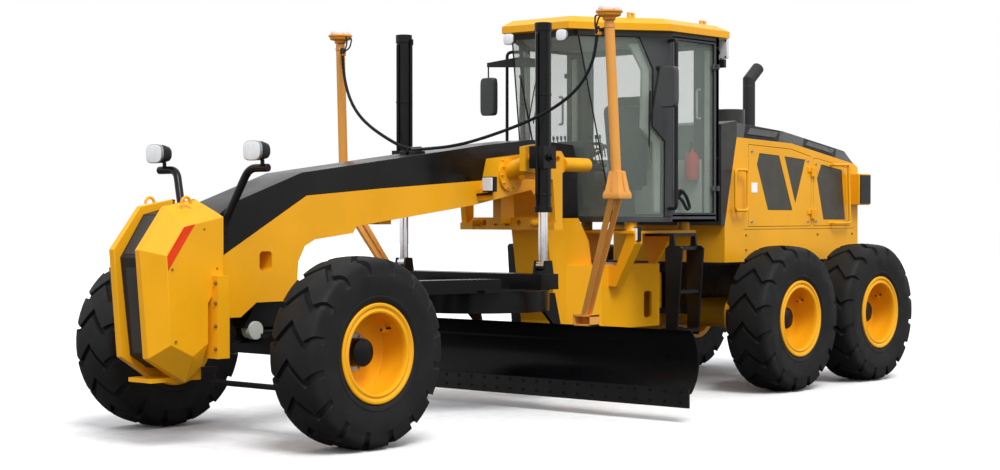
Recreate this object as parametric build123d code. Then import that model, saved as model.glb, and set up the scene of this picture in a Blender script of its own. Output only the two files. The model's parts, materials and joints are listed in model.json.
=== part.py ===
from build123d import *
import os
from math import radians, tan

os.makedirs("parts", exist_ok=True)

# Motor grader. Millimetres, +X forward, +Y left, +Z up, z = 0 on the ground.
# Everything is drawn with the front axle at x = 0. write() then moves it so that
# the origin lies on the ground under the middle of the whole machine.

# ------------------------------------------------------------ driving dimensions
wheelbase = 6280  # front axle to the middle of the tandem
tandem_pitch = 1480
track = 2180
nose_reach = 1220  # front axle to the face of the nose weight
tail_reach = 1520  # middle of the tandem to the face of the rear hitch
fit_gap = 0.4  # running clearance round a pin, spindle or rod
seat_gap = 0.3  # between faces that slide on each other
face_gap = 5  # clearance between pieces that pass each other

tyre_d = 1350
tyre_w = 445
rim_bore_d = 640  # where the tyre's bead sits
flange_d = 710
rim_wall = 18
groove_count = 22
groove_w = 34
groove_depth = 30
groove_lean = 28
disc_set = 70  # wheel disc, inboard of the wheel's middle
hub_d = 170
spindle_d = 130

beam_half = 200  # half width of the main beam and its column
box_half = 350  # half width of the frame under the cab
box_bottom = 620
box_top = 1190
box_wall = 25
box_rear = -4620
hinge_x = -4950  # articulation pin
hinge_r = 110
tongue_z = (760, 1090)
lug_t = 50
lug_gap = 5
hinge_pin_d = 90

kingpin_y = 800
lean_y = 690
lean_z = 650
axle_z = tyre_d / 2
bracket_z = (480, 870)
arm_reach = 200  # kingpin back to the tie rod's ball
arm_inset = 110  # and inwards
arm_z = (425, 465)
tie_d = 44
tie_top = 372
stud_gap = 1  # the studs swing down over the tie rod as the wheels lean

lamp_x = 420  # head lamps on the two posts
lamp_y = 540
lamp_z = (2010, 2155)
mount_x = 667  # the plate that the nose weight is bolted to
plate_half = 380

ball_x = -400  # drawbar ball under the beam
ball_z = 980
lift_x = -2415  # the two blade lift cylinders
lift_y = 780
trunnion_z = 2100
lock_half = 400  # lock bar under the beam
barrel_d = 130
rod_d = 76
barrel_top = 3190
barrel_bottom = 1660
rod_eye_z = 1225
eye_w = 80
eye_r = 45

circle_x = -2480
circle_r = 620
circle_z = (835, 1005)
tilt_x = -3005  # hinge line of the blade carriage
tilt_z = 520
tilt_r = 60
arm_y = (425, 458)  # circle arms, which hold that hinge
blade_l = 3965
blade_top = 730
blade_bottom = 120
blade_x = -2760  # both edges of the moldboard
blade_sag = 110  # how deep the moldboard's face is hollowed
blade_t = 20
rail_y = 1250
rail_x = -2935  # back of the rails
rail_z_pair = (310, 610)

mast_y = 1530
mast_d = 110
cable_d = 28
# Left cable: out of the mast's gland, down in a free arc, and onto the beam.
cable_route = [
    (-2300, 1420, 3050), (-2296, 1408, 2930), (-2285, 1372, 2800), (-2262, 1300, 2670), (-2226, 1195, 2560),
    (-2180, 1060, 2468), (-2125, 900, 2390), (-2065, 725, 2322), (-2000, 545, 2262), (-1938, 380, 2214),
    (-1880, 235, 2186), (-1820, 120, 2174), (-1745, 60, 2166),
]

cab_floor = 1570
cab_h = 1670
cab_top = cab_floor + cab_h
cab_wall = 45
cab_inside = cab_floor + 0.6 * cab_wall
door_front = -4115
door_rear = -4800
cab_hinges = (1850, 2950)
side_y = 850
roof_z = cab_top + 115
roof_eyes = [(-3840, 600), (-3840, -600), (-4800, 700), (-4800, -700)]
eye_bore = 36
eye_z = roof_z + 24
eye_t = 20

hood_front = -5440  # at its top; the edge leans forward below
hood_foot = -5240
hood_rear = -7700
hood_y = 650
hood_wall = 40
hood_bottom = 1190
hood_hinges = (1640, 2060)
deck_t = 25
pillar_front = -5180  # dark panel between the cab and the hood
rail_half = 350
rail_z = (850, 1165)
case_y = (600, 855)
hitch_z = (890, 1040)  # the two plates of the towing hitch
hitch_t = 40
hitch_bore = 52
hinge_out = 17  # door hinges' axes, outside the panel

front_x = nose_reach
rear_x = -(wheelbase + tail_reach)
middle_x = (front_x + rear_x) / 2
mid_x = -wheelbase + tandem_pitch / 2
last_x = -wheelbase - tandem_pitch / 2


# ------------------------------------------------------------ ways of drawing
def block(x0, x1, y0, y1, z0, z1):
    return Pos((x0 + x1) / 2, (y0 + y1) / 2, (z0 + z1) / 2) * Box(x1 - x0, y1 - y0, z1 - z0)


def outline(points, rounds=0):
    """A closed outline; rounds is one radius for all corners, or 0."""
    if rounds:
        return make_face(FilletPolyline(*points, radius=rounds, close=True))
    return make_face(Polyline(*points, close=True))


def side(points, y0, y1, rounds=0):
    """An outline of (x, z) points, solid from y0 to y1."""
    face = Plane.XZ * outline(points, rounds)
    return Pos(0, y0, 0) * extrude(face, y1 - y0, dir=(0, 1, 0))


def plan(points, z0, z1, rounds=0):
    """An outline of (x, y) points, solid from z0 to z1."""
    return Pos(0, 0, z0) * extrude(outline(points, rounds), z1 - z0, dir=(0, 0, 1))


def front(points, x0, x1, rounds=0):
    """An outline of (y, z) points, solid from x0 to x1."""
    face = Plane.YZ * outline(points, rounds)
    return Pos(x0, 0, 0) * extrude(face, x1 - x0, dir=(1, 0, 0))


def faceted(points, faces, flats):
    """A solid from named corners: faces are cut into triangles from their first corner, flats stay whole."""
    def corners(names):
        return [points[name] for name in names]
    sheets = [make_face(Polyline(*corners(names), close=True)) for names in flats]
    for names in faces:
        at = corners(names)
        sheets += [make_face(Polyline(at[0], b, c, close=True)) for b, c in zip(at[1:], at[2:])]
    return Solid(Shell(sheets))


def rod(p, q, d):
    start, end = Vector(*p), Vector(*q)
    way = end - start
    return Plane(origin=start, z_dir=way) * Cylinder(
        d / 2, way.length, align=(Align.CENTER, Align.CENTER, Align.MIN)
    )


def turned(profile, about=Axis.Y):
    """A profile of (radius, y) points, turned about the Y axis."""
    return revolve(make_face(Polyline(*profile, close=True)), about, 360)


def pipe(points, d, bend):
    path = FilletPolyline(*points, radius=bend)
    return sweep(Plane(origin=path @ 0, z_dir=path % 0) * Circle(d / 2), path=path)


def across(shape):
    """The same shape on the other side of the machine."""
    return mirror(shape, Plane.XZ)


def write(name, *shapes):
    solids = [solid for shape in shapes for solid in shape.solids()]
    export_step(Pos(-middle_x, 0, 0) * Compound(solids), f"parts/{name}.step")


def door_hinge(x, y, z, toward):
    """Pin with a fixed knuckle below, and the door's knuckle above; toward is +1 or -1, the way the door lies."""
    def half(low, high, way, leaf):
        knuckle = rod((x, y + hinge_out, low), (x, y + hinge_out, high), 2 * hinge_out)
        return knuckle + block(min(x, x + way * leaf), max(x, x + way * leaf), y, y + 10, low, high)
    pin = rod((x, y + hinge_out, z - 45), (x, y + hinge_out, z + 45), 16)
    moving = half(z, z + 45, toward, 70) - rod((x, y + hinge_out, z - 1), (x, y + hinge_out, z + 46), 16 + 2 * fit_gap)
    return half(z - 45, z - seat_gap, -toward, 18) + pin, moving


# ------------------------------------------------------------ wheels
def tyre():
    """Turned about Y, middle of the wheel at the origin, with leaning grooves over both shoulders."""
    r, w, bore, bead = tyre_d / 2, tyre_w / 2, rim_bore_d / 2, flange_d / 2
    half = [(bore, 0), (bore, w - 30), (bead, w - 30), (bead + 20, w - 12), (r - 150, w), (r - 45, w - 12), (r, w - 60)]
    body = turned(half + [(radius, -y) for radius, y in reversed(half[1:])])
    groove = Rot(0, 0, groove_lean) * Pos(0, w / 2 + 35, r) * Box(groove_w, w + 30, 2 * groove_depth)
    cutters = []
    for step in range(groove_count):
        cutters.append(Rot(0, 360 * step / groove_count, 0) * groove)
        cutters.append(Rot(0, 360 * (step + 0.5) / groove_count, 0) * across(groove))
    return body - cutters


def rim():
    """Outboard is +Y. Deep disc and a plain hub."""
    barrel, bead = rim_bore_d / 2 - fit_gap, flange_d / 2 - 2
    inner, edge = barrel - rim_wall, tyre_w / 2 - 32
    hub, bore = hub_d / 2, spindle_d / 2 + fit_gap
    profile = [
        (bore, -disc_set), (inner, -disc_set), (inner, -edge - 18), (bead, -edge - 18), (bead, -edge - 4),
        (barrel, -edge - 4), (barrel, edge + 4), (bead, edge + 4), (bead, edge + 18), (inner, edge + 18),
        (inner, -disc_set + 22), (hub, -disc_set + 22), (hub, 60), (bore, 60),
    ]
    return turned(profile)


def write_wheels():
    rubber, disc = tyre(), rim()
    axles = {"front": 0, "mid": mid_x, "rear": last_x}
    for axle, x in axles.items():
        at = Pos(x, track / 2, axle_z)
        write(f"tyre_{axle}_left", at * rubber)
        write(f"rim_{axle}_left", at * disc)
        write(f"tyre_{axle}_right", across(at * rubber))
        write(f"rim_{axle}_right", across(at * disc))


# ------------------------------------------------------------ front axle and steering
def front_axle():
    """Arched beam, its cradle under the frame, and a fork with a pin at each end."""
    low, high, end = lean_z - 60, lean_z + 60, lean_y - 60
    outer = [(-end, low), (-300, low + 30), (300, low + 30), (end, low), (end, high), (300, high + 60), (-300, high + 60), (-end, high)]
    axle = front(outer, -85, 85)
    axle += side([(-260, 815), (230, 815), (150, 930), (150, 1000), (-180, 1000), (-260, 930)], -150, 150)
    axle += rod((-230, 0, 770), (230, 0, 770), 150)
    for y in (46, -76):
        axle += side([(-250, 930), (ball_x - 50, ball_z - 40), (ball_x - 50, ball_z + 30), (-250, 985)], y, y + 30)
    axle += rod((ball_x, -76, ball_z), (ball_x, 76, ball_z), 50)
    for x0, x1 in ((-95, -65), (65, 95)):
        cheek = block(x0, x1, end - 10, lean_y + 48, low, high)
        axle += cheek + across(cheek)
    pin = rod((-95, lean_y, lean_z), (95, lean_y, lean_z), 60)
    return axle + pin + across(pin)


def lean_bracket():
    """Left. Hangs on the axle's pin and holds the kingpin above and below."""
    low, high = bracket_z
    bracket = block(-60, 60, lean_y + 55, kingpin_y - 33, low, high)
    bracket += rod((-64, lean_y, lean_z), (64, lean_y, lean_z), 100)
    bracket += block(-60, 60, lean_y, lean_y + 60, lean_z - 50, lean_z + 50)
    for z in (low, high - 40):
        bracket += block(-45, 45, kingpin_y - 60, kingpin_y, z, z + 40)
        bracket += rod((0, kingpin_y, z), (0, kingpin_y, z + 40), 90)
    bracket -= rod((-70, lean_y, lean_z), (70, lean_y, lean_z), 60 + 2 * fit_gap)
    bracket -= rod((0, kingpin_y, low - 10), (0, kingpin_y, high + 10), 60 + 2 * fit_gap)
    return bracket - rod((0, kingpin_y, low + 40), (0, kingpin_y, high - 40), 102)


def knuckle():
    """Left. Kingpin, spindle and a steering arm under the bracket."""
    low, high = bracket_z
    post = rod((0, kingpin_y, low + 40 + seat_gap), (0, kingpin_y, high - 40 - seat_gap), 90)
    post += rod((0, kingpin_y, arm_z[0]), (0, kingpin_y, high), 60)
    spindle = rod((0, kingpin_y + 30, axle_z), (0, track / 2 + 55, axle_z), spindle_d)
    ball_y = kingpin_y - arm_inset
    arm = plan([(20, kingpin_y + 25), (-arm_reach, ball_y + 28), (-arm_reach, ball_y - 28), (0, kingpin_y - 30)], *arm_z)
    arm += rod((-arm_reach, ball_y, arm_z[0]), (-arm_reach, ball_y, arm_z[1]), 56)
    stud = rod((-arm_reach, ball_y, tie_top), (-arm_reach, ball_y, arm_z[0]), 30)
    return post + spindle + arm + stud + rod((0, kingpin_y, arm_z[0]), (0, kingpin_y, arm_z[1]), 80)


def tie_rod():
    """Bar under the two studs of the steering arms."""
    y, top = kingpin_y - arm_inset, tie_top - stud_gap
    middle = top - tie_d / 2 - 3
    bar = rod((-arm_reach, -y, middle), (-arm_reach, y, middle), tie_d)
    end = rod((-arm_reach, y, top - tie_d - 6), (-arm_reach, y, top), tie_d + 14)
    return bar + end + across(end)


# ------------------------------------------------------------ front frame
beam_line = [(560, 1295), (-349, 1779), (-1124, 1839), (-2570, 1935), (-2570, 2115), (-3290, 2180), (-3330, 1605), (-3610, 1605)]
beam_top = [(-3590, 2090), (-3535, 2250), (-2980, 2275), (-2330, 2210), (-300, 1950), (380, 1720), (560, 1600)]
beam_under = [
    (-3760, 1400), (-3800, box_top), (-3440, box_bottom), (-3315, box_bottom), (-3150, 1630), (-2960, 1847),
    (-2200, 1712), (-870, 1548), (-830, 1497), (-430, 1452), (-330, 1405), (-262, 1290), (-240, 1000),
    (150, 1000), (300, 900), (560, 900),
]


def front_frame():
    beam = side(beam_line + beam_under, -beam_half, beam_half)
    shell = plan([(-3300, -beam_half), (-3300, beam_half), (-3440, beam_half), (-3750, box_half), (box_rear, box_half),
                  (box_rear, -box_half), (-3750, -box_half), (-3440, -beam_half)], box_bottom, box_top)
    inside = plan([(-3800, box_half - box_wall), (box_rear + box_wall, box_half - box_wall),
                   (box_rear + box_wall, box_wall - box_half), (-3800, box_wall - box_half)],
                  box_bottom + box_wall, box_top - box_wall)
    frame = beam + (shell - inside)
    frame -= side([(-4500, 700), (-4380, 700), (-4380, 940), (-4500, 940)], -400, 400, 30)
    tongue = plan([(box_rear, -160), (box_rear, 160), (hinge_x, hinge_r), (hinge_x, -hinge_r)], *tongue_z)
    tongue += rod((hinge_x, 0, tongue_z[0]), (hinge_x, 0, tongue_z[1]), 2 * hinge_r)
    frame += tongue
    frame -= rod((hinge_x, 0, 700), (hinge_x, 0, 1150), hinge_pin_d + 2 * fit_gap)
    frame -= side([(0, 1230), (120, 1230), (120, 1370), (0, 1370)], -300, 300, 30)
    frame += block(mount_x - 107, mount_x, -plate_half, plate_half, 630, 1210)
    frame += block(mount_x - 107, mount_x, -beam_half, beam_half, 1210, 1600)
    frame += block(750, 1050, -125, 125, 470, 500) + block(mount_x - 60, 760, -125, 125, 470, 640)
    deck = block(box_rear - 160, box_rear + 790, -640, 640, cab_floor - 100, cab_floor - 75)
    under = cab_floor - 100
    wing = front([(box_half - 10, 1000), (430, 1000), (640, under - 90), (640, under), (560, under), (430, 1180),
                  (box_half - 10, 1180)], -3960, -3850)
    post = front([(box_half - 60, box_top - 10), (box_half, box_top - 10), (560, under), (200, under)],
                 box_rear + 40, box_rear + 80)
    frame += deck + wing + across(wing) + post + across(post)
    for x in (-3900, -4700):
        foot = rod((x, 560, cab_floor - 90), (x, 560, cab_floor), 110)
        frame += foot + across(foot)
    return frame


def frame_cap():
    cap = side(beam_line + beam_top, -beam_half, beam_half)
    foot_y = beam_half + 22.2
    post = pipe([(480, foot_y, 1500), (480, foot_y, 1570), (lamp_x, lamp_y, 1950), (lamp_x, lamp_y, lamp_z[0])], 44, 50)
    plug = fitting(cable_route[-2], cable_route[-1], 46, 90)
    plug += block(-1760, -1640, 15, 85, 2110, 2150)
    return cap + post + across(post) + plug + across(plug)


def counterweight():
    """Left shell of the faceted nose weight, bolted to the mounting plate."""
    inner, outer, back = 130, 450, mount_x + seat_gap

    def on_side(x, z):
        return x, outer - (x - back) * 0.237, z
    points = {
        "b": (1180, inner, 1395), "l": (1115, inner, 645), "a": (950, inner, 1694), "e": (back, inner, 1745),
        "m": (930, 300, 465), "mi": (850, inner, 455), "n": (800, 330, 580), "ni": (790, inner, 560),
        "c": on_side(1089, 1351), "k": on_side(1059, 744), "d": on_side(972, 1549), "f": on_side(back, 1613),
        "g": on_side(back, 1217), "h": on_side(802, 1028), "i": on_side(803, 745), "j": on_side(935, 655),
        "gi": (back, inner, 1217), "hi": (802, inner, 1028), "ii": (803, inner, 745),
    }
    flats = ["b a e gi hi ii ni mi l", "c d f g h i j k", "f e gi g"]
    faces = ["b c k l", "a d c b", "e f d a", "l k j m", "l m mi", "j i n m", "m n ni mi", "g gi hi h", "h hi ii i", "i ii ni n"]
    return faceted(points, [names.split() for names in faces], [names.split() for names in flats])


def nose_grille():
    back = mount_x + seat_gap
    return side([(back, 645), (1080, 645), (1145, 1385), (930, 1660), (back, 1700)], -130, 130)


def front_lamps():
    """Two on the nose posts and two on the front of the cab's roof."""
    lamp = Pos(lamp_x + 10, lamp_y, (lamp_z[0] + lamp_z[1]) / 2) * Box(140, 190, lamp_z[1] - lamp_z[0])
    roof_lamp = block(-3300, -3240, 240, 360, cab_top - 105, cab_top)
    return lamp, across(lamp), roof_lamp, across(roof_lamp)


# ------------------------------------------------------------ lift saddle and cylinders
def lift_arms():
    """Saddle arms that carry the trunnions of the two lift cylinders, and the lock bar under the beam."""
    cheek_y, tube_y, ear_y = beam_half + 150, lift_y - 280, lift_y - 250
    saddle = side([(lift_x + 40, 2100), (lift_x - 365, 2145), (lift_x - 190, 1813), (lift_x + 140, 1752)], beam_half, cheek_y)
    saddle += rod((lift_x - 75, cheek_y - 10, 1965), (lift_x - 75, cheek_y + 22, 1965), 270)
    arm = rod((lift_x - 75, cheek_y, 2000), (lift_x - 75, lift_y - 190, 2060), 140)
    plate = side([(lift_x - 230, 1960), (lift_x + 60, 1990), (lift_x + 60, 2190), (lift_x - 100, 2215),
                  (lift_x - 230, 2150)], lift_y - 200, lift_y - 140)
    ear = side([(lift_x - 60, 1930), (lift_x - 60, 2110), (lift_x - 440, 2171), (lift_x - 545, 2171), (lift_x - 600, 2110),
                (lift_x - 590, 2000), (lift_x - 430, 1930)], tube_y - 30, ear_y)
    ear -= rod((lift_x - 500, tube_y - 40, 2100), (lift_x - 500, ear_y + 10, 2100), 56)
    tube = rod((lift_x - 585, tube_y, 2060), (lift_x - 930, tube_y, 2060), 120)
    leg = side([(lift_x - 430, 1940), (lift_x - 560, 2000), (lift_x - 560, 1507), (lift_x - 475, 1507)], tube_y - 30, ear_y)
    lug = block(lift_x - 570, lift_x - 450, lock_half - 20, ear_y, 1507, 1567)
    trunnion = rod((lift_x, lift_y - 150, trunnion_z), (lift_x, lift_y - barrel_d / 2 - 35, trunnion_z), 60)
    arms = saddle + arm + plate + ear + tube + leg + lug + trunnion
    bar = block(lift_x - 560, lift_x - 460, -lock_half, lock_half, 1507, 1612)
    for y in range(-260, 261, 130):
        bar -= rod((lift_x - 561, y, 1565), (lift_x - 459, y, 1565), 48)
    hanger = side([(lift_x - 330, 1560), (lift_x - 500, 1560), (lift_x - 500, 1838.2), (lift_x - 330, 1805.3)], -45, 45)
    return arms + across(arms) + bar + hanger


def lift_barrel():
    """Left."""
    tube = rod((lift_x, lift_y, barrel_bottom), (lift_x, lift_y, barrel_top), barrel_d)
    block_at = block(lift_x - 80, lift_x + 80, lift_y - 80, lift_y + 70, trunnion_z - 90, trunnion_z + 90)
    tube += block_at
    tube -= rod((lift_x, lift_y, barrel_bottom), (lift_x, lift_y, barrel_top - 40), rod_d + 2 * fit_gap)
    tube -= rod((lift_x, lift_y - 81, trunnion_z), (lift_x, lift_y - 60, trunnion_z), 60 + 2 * fit_gap)
    feed = rod((lift_x - 10, lift_y - barrel_d / 2 - 12, trunnion_z + 85), (lift_x - 10, lift_y - barrel_d / 2 - 12, 3150), 24)
    feed += block(lift_x - 25, lift_x + 5, lift_y - barrel_d / 2 - 24, lift_y - barrel_d / 2 + 5, 3100, 3150)
    return tube + feed


def lift_rod():
    """Left."""
    half = eye_w / 2
    shaft = rod((lift_x, lift_y, rod_eye_z), (lift_x, lift_y, 2640), rod_d)
    return shaft + rod((lift_x, lift_y - half, rod_eye_z), (lift_x, lift_y + half, rod_eye_z), 2 * eye_r)


# ------------------------------------------------------------ drawbar, circle and blade
def drawbar():
    """Pinned eye in front, two arms, the plate that carries the circle, and the lift forks."""
    top = circle_z[1] + seat_gap
    bars = rod((ball_x, -45, ball_z), (ball_x, 45, ball_z), 100)
    bars += block(ball_x - 200, ball_x, -45, 45, ball_z - 40, ball_z + 40)
    arm = plan([(ball_x - 80, 0), (ball_x - 80, 45), (-1900, 470), (-2150, 560), (-2150, 380), (ball_x - 400, 0)], top, top + 110)
    bars += arm + across(arm) + block(ball_x - 200, ball_x - 60, -45, 45, ball_z, top + 110)
    bars -= rod((ball_x, -60, ball_z), (ball_x, 60, ball_z), 50 + 2 * fit_gap)
    plate = plan([(-1950, 560), (-3060, 420), (-3060, -420), (-1950, -560)], top, top + 25)
    beam = block(lift_x - 110, lift_x + 110, -lift_y - 70, lift_y + 70, top + 25, top + 150)
    whole = bars + plate + beam
    for y in (lift_y - eye_w / 2 - seat_gap - 22, lift_y + eye_w / 2 + seat_gap):
        cheek = side([(lift_x - 60, top + 150), (lift_x - 40, rod_eye_z + 40), (lift_x + 40, rod_eye_z + 40),
                      (lift_x + 60, top + 150)], y, y + 22)
        whole += cheek + across(cheek)
    return whole


def circle():
    """Ring under the drawbar's plate, with an arm down each side to the blade's hinge."""
    low, high = circle_z
    ring = rod((circle_x, 0, low), (circle_x, 0, high), 2 * circle_r)
    ring -= rod((circle_x, 0, low - 1), (circle_x, 0, high - 25), 2 * circle_r - 180)
    ring -= rod((circle_x, 0, high - 26), (circle_x, 0, high + 1), 2 * circle_r - 500)
    y0, y1 = arm_y
    arm = side([(circle_x - 330, high - 30), (circle_x - 330, low), (tilt_x + 45, 700), (tilt_x + 50, tilt_z),
                (tilt_x - tilt_r, tilt_z), (tilt_x - 40, 700), (tilt_x + 40, high - 30)], y0, y1)
    arm += rod((tilt_x, y0, tilt_z), (tilt_x, y1, tilt_z), 2 * tilt_r)
    arm -= rod((tilt_x, y0 - 1, tilt_z), (tilt_x, y1 + 1, tilt_z), 70 + 2 * fit_gap)
    return ring + arm + across(arm)


def blade_carriage():
    """Bar hinged between the circle's arms, with cheeks that hold the rails of the moldboard."""
    inner = arm_y[0] - face_gap
    bar = rod((tilt_x, -inner, tilt_z), (tilt_x, inner, tilt_z), 110)
    bar += rod((tilt_x, -arm_y[1], tilt_z), (tilt_x, arm_y[1], tilt_z), 70)
    face = rail_x - seat_gap
    cheek = side([(tilt_x - 55, 460), (tilt_x - 55, 580), (-2990, 700), (face, 700), (face, 240), (-2990, 240)],
                 inner - 60, inner)
    return bar + cheek + across(cheek)


def moldboard():
    """Rolled plate between two arcs, with two rails on its back."""
    mid_z = (blade_top + blade_bottom) / 2 + 40
    low, t = blade_bottom + 110, blade_t
    face = ThreePointArc((blade_x, low), (blade_x - blade_sag, mid_z), (blade_x, blade_top))
    back = ThreePointArc((blade_x - t, blade_top), (blade_x - blade_sag - t, mid_z), (blade_x - t, low))
    section = make_face(Wire([face, Line(face @ 1, back @ 0), back, Line(back @ 1, face @ 0)]))
    board = Pos(0, -blade_l / 2, 0) * extrude(Plane.XZ * section, blade_l, dir=(0, 1, 0))
    for z in rail_z_pair:
        board += block(rail_x, rail_x + 90, -rail_y, rail_y, z - 22, z + 22)
    return board


def cutting_edges():
    edge = side([(blade_x, blade_bottom + 110), (blade_x, blade_bottom), (blade_x + 18, blade_bottom),
                 (blade_x + 18, blade_bottom + 150), (blade_x, blade_bottom + 150)], -blade_l / 2, blade_l / 2)
    return edge


def gnss_masts():
    """Left."""
    foot = block(blade_x - 25, blade_x + 95, mast_y - 640, mast_y - 460, blade_top, blade_top + 90)
    base = (-2420, mast_y, 1770)
    tip = (-2350, mast_y - 30, 3150)
    mast = rod((base[0], base[1], base[2] + 60), tip, mast_d)
    cone = loft([Pos(base[0], base[1], base[2]) * Rectangle(230, 230), Pos(base[0] + 10, base[1] - 4, base[2] + 210)
                 * Rectangle(120, 120)], ruled=True)
    for dx in (-60, 60):
        mast += rod((blade_x + 35 + dx * 0.5, mast_y - 550, blade_top + 60), (base[0] + dx, mast_y - 20, 1780), 60)
    gland = fitting(cable_route[1], cable_route[0], 46, 60)
    gland += block(-2370, -2290, 1425, 1480, 3080, 3105)
    return foot + mast + cone + gland


def fitting(inner, end, d, reach):
    """A plug in line with the cable's last run, from its end onwards."""
    way = (Vector(*end) - Vector(*inner)).normalized()
    return rod(end, Vector(*end) + way * reach, d)


def mast_cable():
    """Left. Straight runs joined by arcs as wide as the runs allow."""
    points = [Vector(*point) for point in cable_route]
    radii = []
    for before, here, after in zip(points, points[1:], points[2:]):
        shorter = min((here - before).length, (after - here).length)
        turn = (here - before).get_angle(after - here)
        radii.append(0.45 * shorter / tan(radians(turn / 2)))
    path = FilletPolyline(*points, radius=radii)
    section = Plane(origin=path @ 0, z_dir=path % 0) * Circle(cable_d / 2)
    print("cable", round(path.length), "mm, tightest arc", round(min(radii)))
    return sweep(section, path=path)


def gnss_receivers():
    """Left: flanged housing with a domed cover."""
    x, y, z = -2350, mast_y - 30, 3153.2
    cover = loft([Pos(x, y, z + 95) * Circle(88), Pos(x, y, z + 140) * Circle(60)], ruled=True)
    return rod((x, y, z), (x, y, z + 50), 150) + rod((x, y, z + 50), (x, y, z + 75), 215) + rod((x, y, z + 75), (x, y, z + 95), 176) + cover


# ------------------------------------------------------------ cab
def cab_hull(inset):
    """The cab's outer form, drawn in by inset: narrow leaning windscreen, angled side panes."""
    def ring(z, nose, half):
        return Pos(0, 0, z) * outline([
            (nose - inset, -half + inset * 0.7), (nose - inset, half - inset * 0.7), (-4100 - inset * 0.3, side_y - inset),
            (-4850 + inset, side_y - inset), (-4850 + inset, -side_y + inset), (-4100 - inset * 0.3, -side_y + inset)])
    return loft([ring(cab_floor + inset * 0.6, -3725, 505), ring(cab_top - inset * 0.6, -3375, 372)], ruled=True)


def window_prisms():
    low, high = cab_floor + 50, cab_top - 50
    screen = front([(-462, low), (462, low), (338, high), (-338, high)], -3800, -3200)
    pane = side([(-4040, low), (-3775, low), (-3450, high), (-3840, high), (-4030, 2650)], 330, 900)
    rear = block(-4900, -4780, -600, 600, cab_floor + 580, cab_top - 90)
    return [screen, pane, across(pane), rear]


def door_prism(gap):
    return block(door_rear + gap, door_front - gap, side_y - 60, side_y + 10, cab_floor + 45 + gap, cab_top - 30 - gap)


def cab_frame():
    shell = cab_hull(0) - cab_hull(cab_wall)
    for prism in window_prisms():
        shell -= prism
    shell -= door_prism(0)
    shell -= across(door_prism(0))
    for z in cab_hinges:
        fixed = door_hinge(door_rear, side_y, z, 1)[0]
        shell += fixed + across(fixed)
    return shell


def cab_glass():
    skin = cab_hull(15) - cab_hull(25)
    panes = []
    for prism in window_prisms():
        panes += (skin & prism).solids()
    return panes


def cab_door():
    """Left: frame and glass."""
    slab = (cab_hull(0) - cab_hull(cab_wall)) & door_prism(face_gap)
    edge, low, high = 35, cab_floor + 80, cab_top - 65
    hole = block(door_rear + edge, door_front - edge, side_y - 80, side_y + 20, low, high)
    glass = block(door_rear + edge, door_front - edge, side_y - 27, side_y - 17, low, high)
    slab -= hole
    for z in cab_hinges:
        slab += door_hinge(door_rear, side_y, z, 1)[1]
    return slab, glass


def cab_roof():
    rim_line = [(-3247, -378), (-3247, 378), (-3450, 470), (-4020, 900), (-4940, 900), (-4940, -900), (-4020, -900), (-3450, -470)]
    low = plan(rim_line, cab_top, cab_top + 60)
    top = loft([Pos(0, 0, cab_top + 60) * outline(rim_line),
                Pos(0, 0, roof_z) * outline([(-4200 + (x + 4200) * 0.9, y * 0.88) for x, y in rim_line])], ruled=True)
    roof = low + top
    for x, y in roof_eyes:
        roof += block(x - 45, x + 45, y - eye_t / 2, y + eye_t / 2, roof_z - 30, eye_z + 24)
        roof -= rod((x, y - eye_t, eye_z), (x, y + eye_t, eye_z), eye_bore)
    return roof


def cab_interior():
    """Seat, steering column and wheel, and the console under it."""
    base = block(-4520, -4180, -190, 190, cab_inside, 1900)
    cushion = block(-4600, -4080, -250, 250, 1900, 2020)
    back = side([(-4600, 2020), (-4480, 2020), (-4580, 2700), (-4690, 2700)], -240, 240)
    column = side([(-3950, cab_inside), (-3780, cab_inside), (-3850, 2150), (-3960, 2150)], -70, 70)
    wheel = Pos(-3930, 0, 2200) * Rot(0, 25, 0) * (Torus(190, 16) + Cylinder(40, 50) + Box(370, 24, 16))
    stalk = rod((-3905, 0, 2120), (-3930, 0, 2200), 50)
    return base + cushion + back, column + stalk + wheel


# ------------------------------------------------------------ rear frame and hood
def rear_frame():
    low, high = rail_z
    frame = block(rear_x + 120, -5100, -rail_half, rail_half, low, high)
    frame -= block(rear_x + 300, -5250, -rail_half + 40, rail_half - 40, low - 1, high + 1)
    for z in (tongue_z[0] - lug_gap - lug_t, tongue_z[1] + lug_gap):
        lug = plan([(-5110, -rail_half), (-5110, rail_half), (hinge_x - 20, hinge_r + 8), (hinge_x - 20, -hinge_r - 8)], z, z + lug_t)
        frame += lug + rod((hinge_x, 0, z), (hinge_x, 0, z + lug_t), 2 * hinge_r + 20)
    frame += block(-5110, -5070, -rail_half, rail_half, tongue_z[0] - lug_gap - lug_t, tongue_z[1] + lug_gap + lug_t)
    frame += rod((hinge_x, 0, 700), (hinge_x, 0, 1150), hinge_pin_d)
    deck = block(hood_rear, -5080, -hood_y - 60, hood_y + 60, high, high + deck_t)
    deck -= block(-7000, -5600, -280, 280, high - 1, high + deck_t + 1)
    for z in hitch_z:
        frame += block(rear_x, rear_x + 140, -110, 110, z - hitch_t / 2, z + hitch_t / 2)
        frame -= rod((rear_x + 45, 0, z - hitch_t), (rear_x + 45, 0, z + hitch_t), hitch_bore)
    return frame + deck


def tandem_cases():
    y0, y1 = case_y
    case = side([(mid_x + 230, axle_z - 190), (last_x - 230, axle_z - 190), (last_x - 230, axle_z + 190),
                 (mid_x + 230, axle_z + 190)], y0, y1, 150)
    for x in (mid_x, last_x):
        case += rod((x, y1 - 5, axle_z), (x, track / 2 + 55, axle_z), spindle_d)
    housing = rod((-wheelbase, -y0 - 5, axle_z), (-wheelbase, y0 + 5, axle_z), 330)
    saddle = block(-wheelbase - 150, -wheelbase + 150, 300, 345, axle_z, rail_z[0])
    return case + across(case) + housing + saddle + across(saddle)


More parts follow.
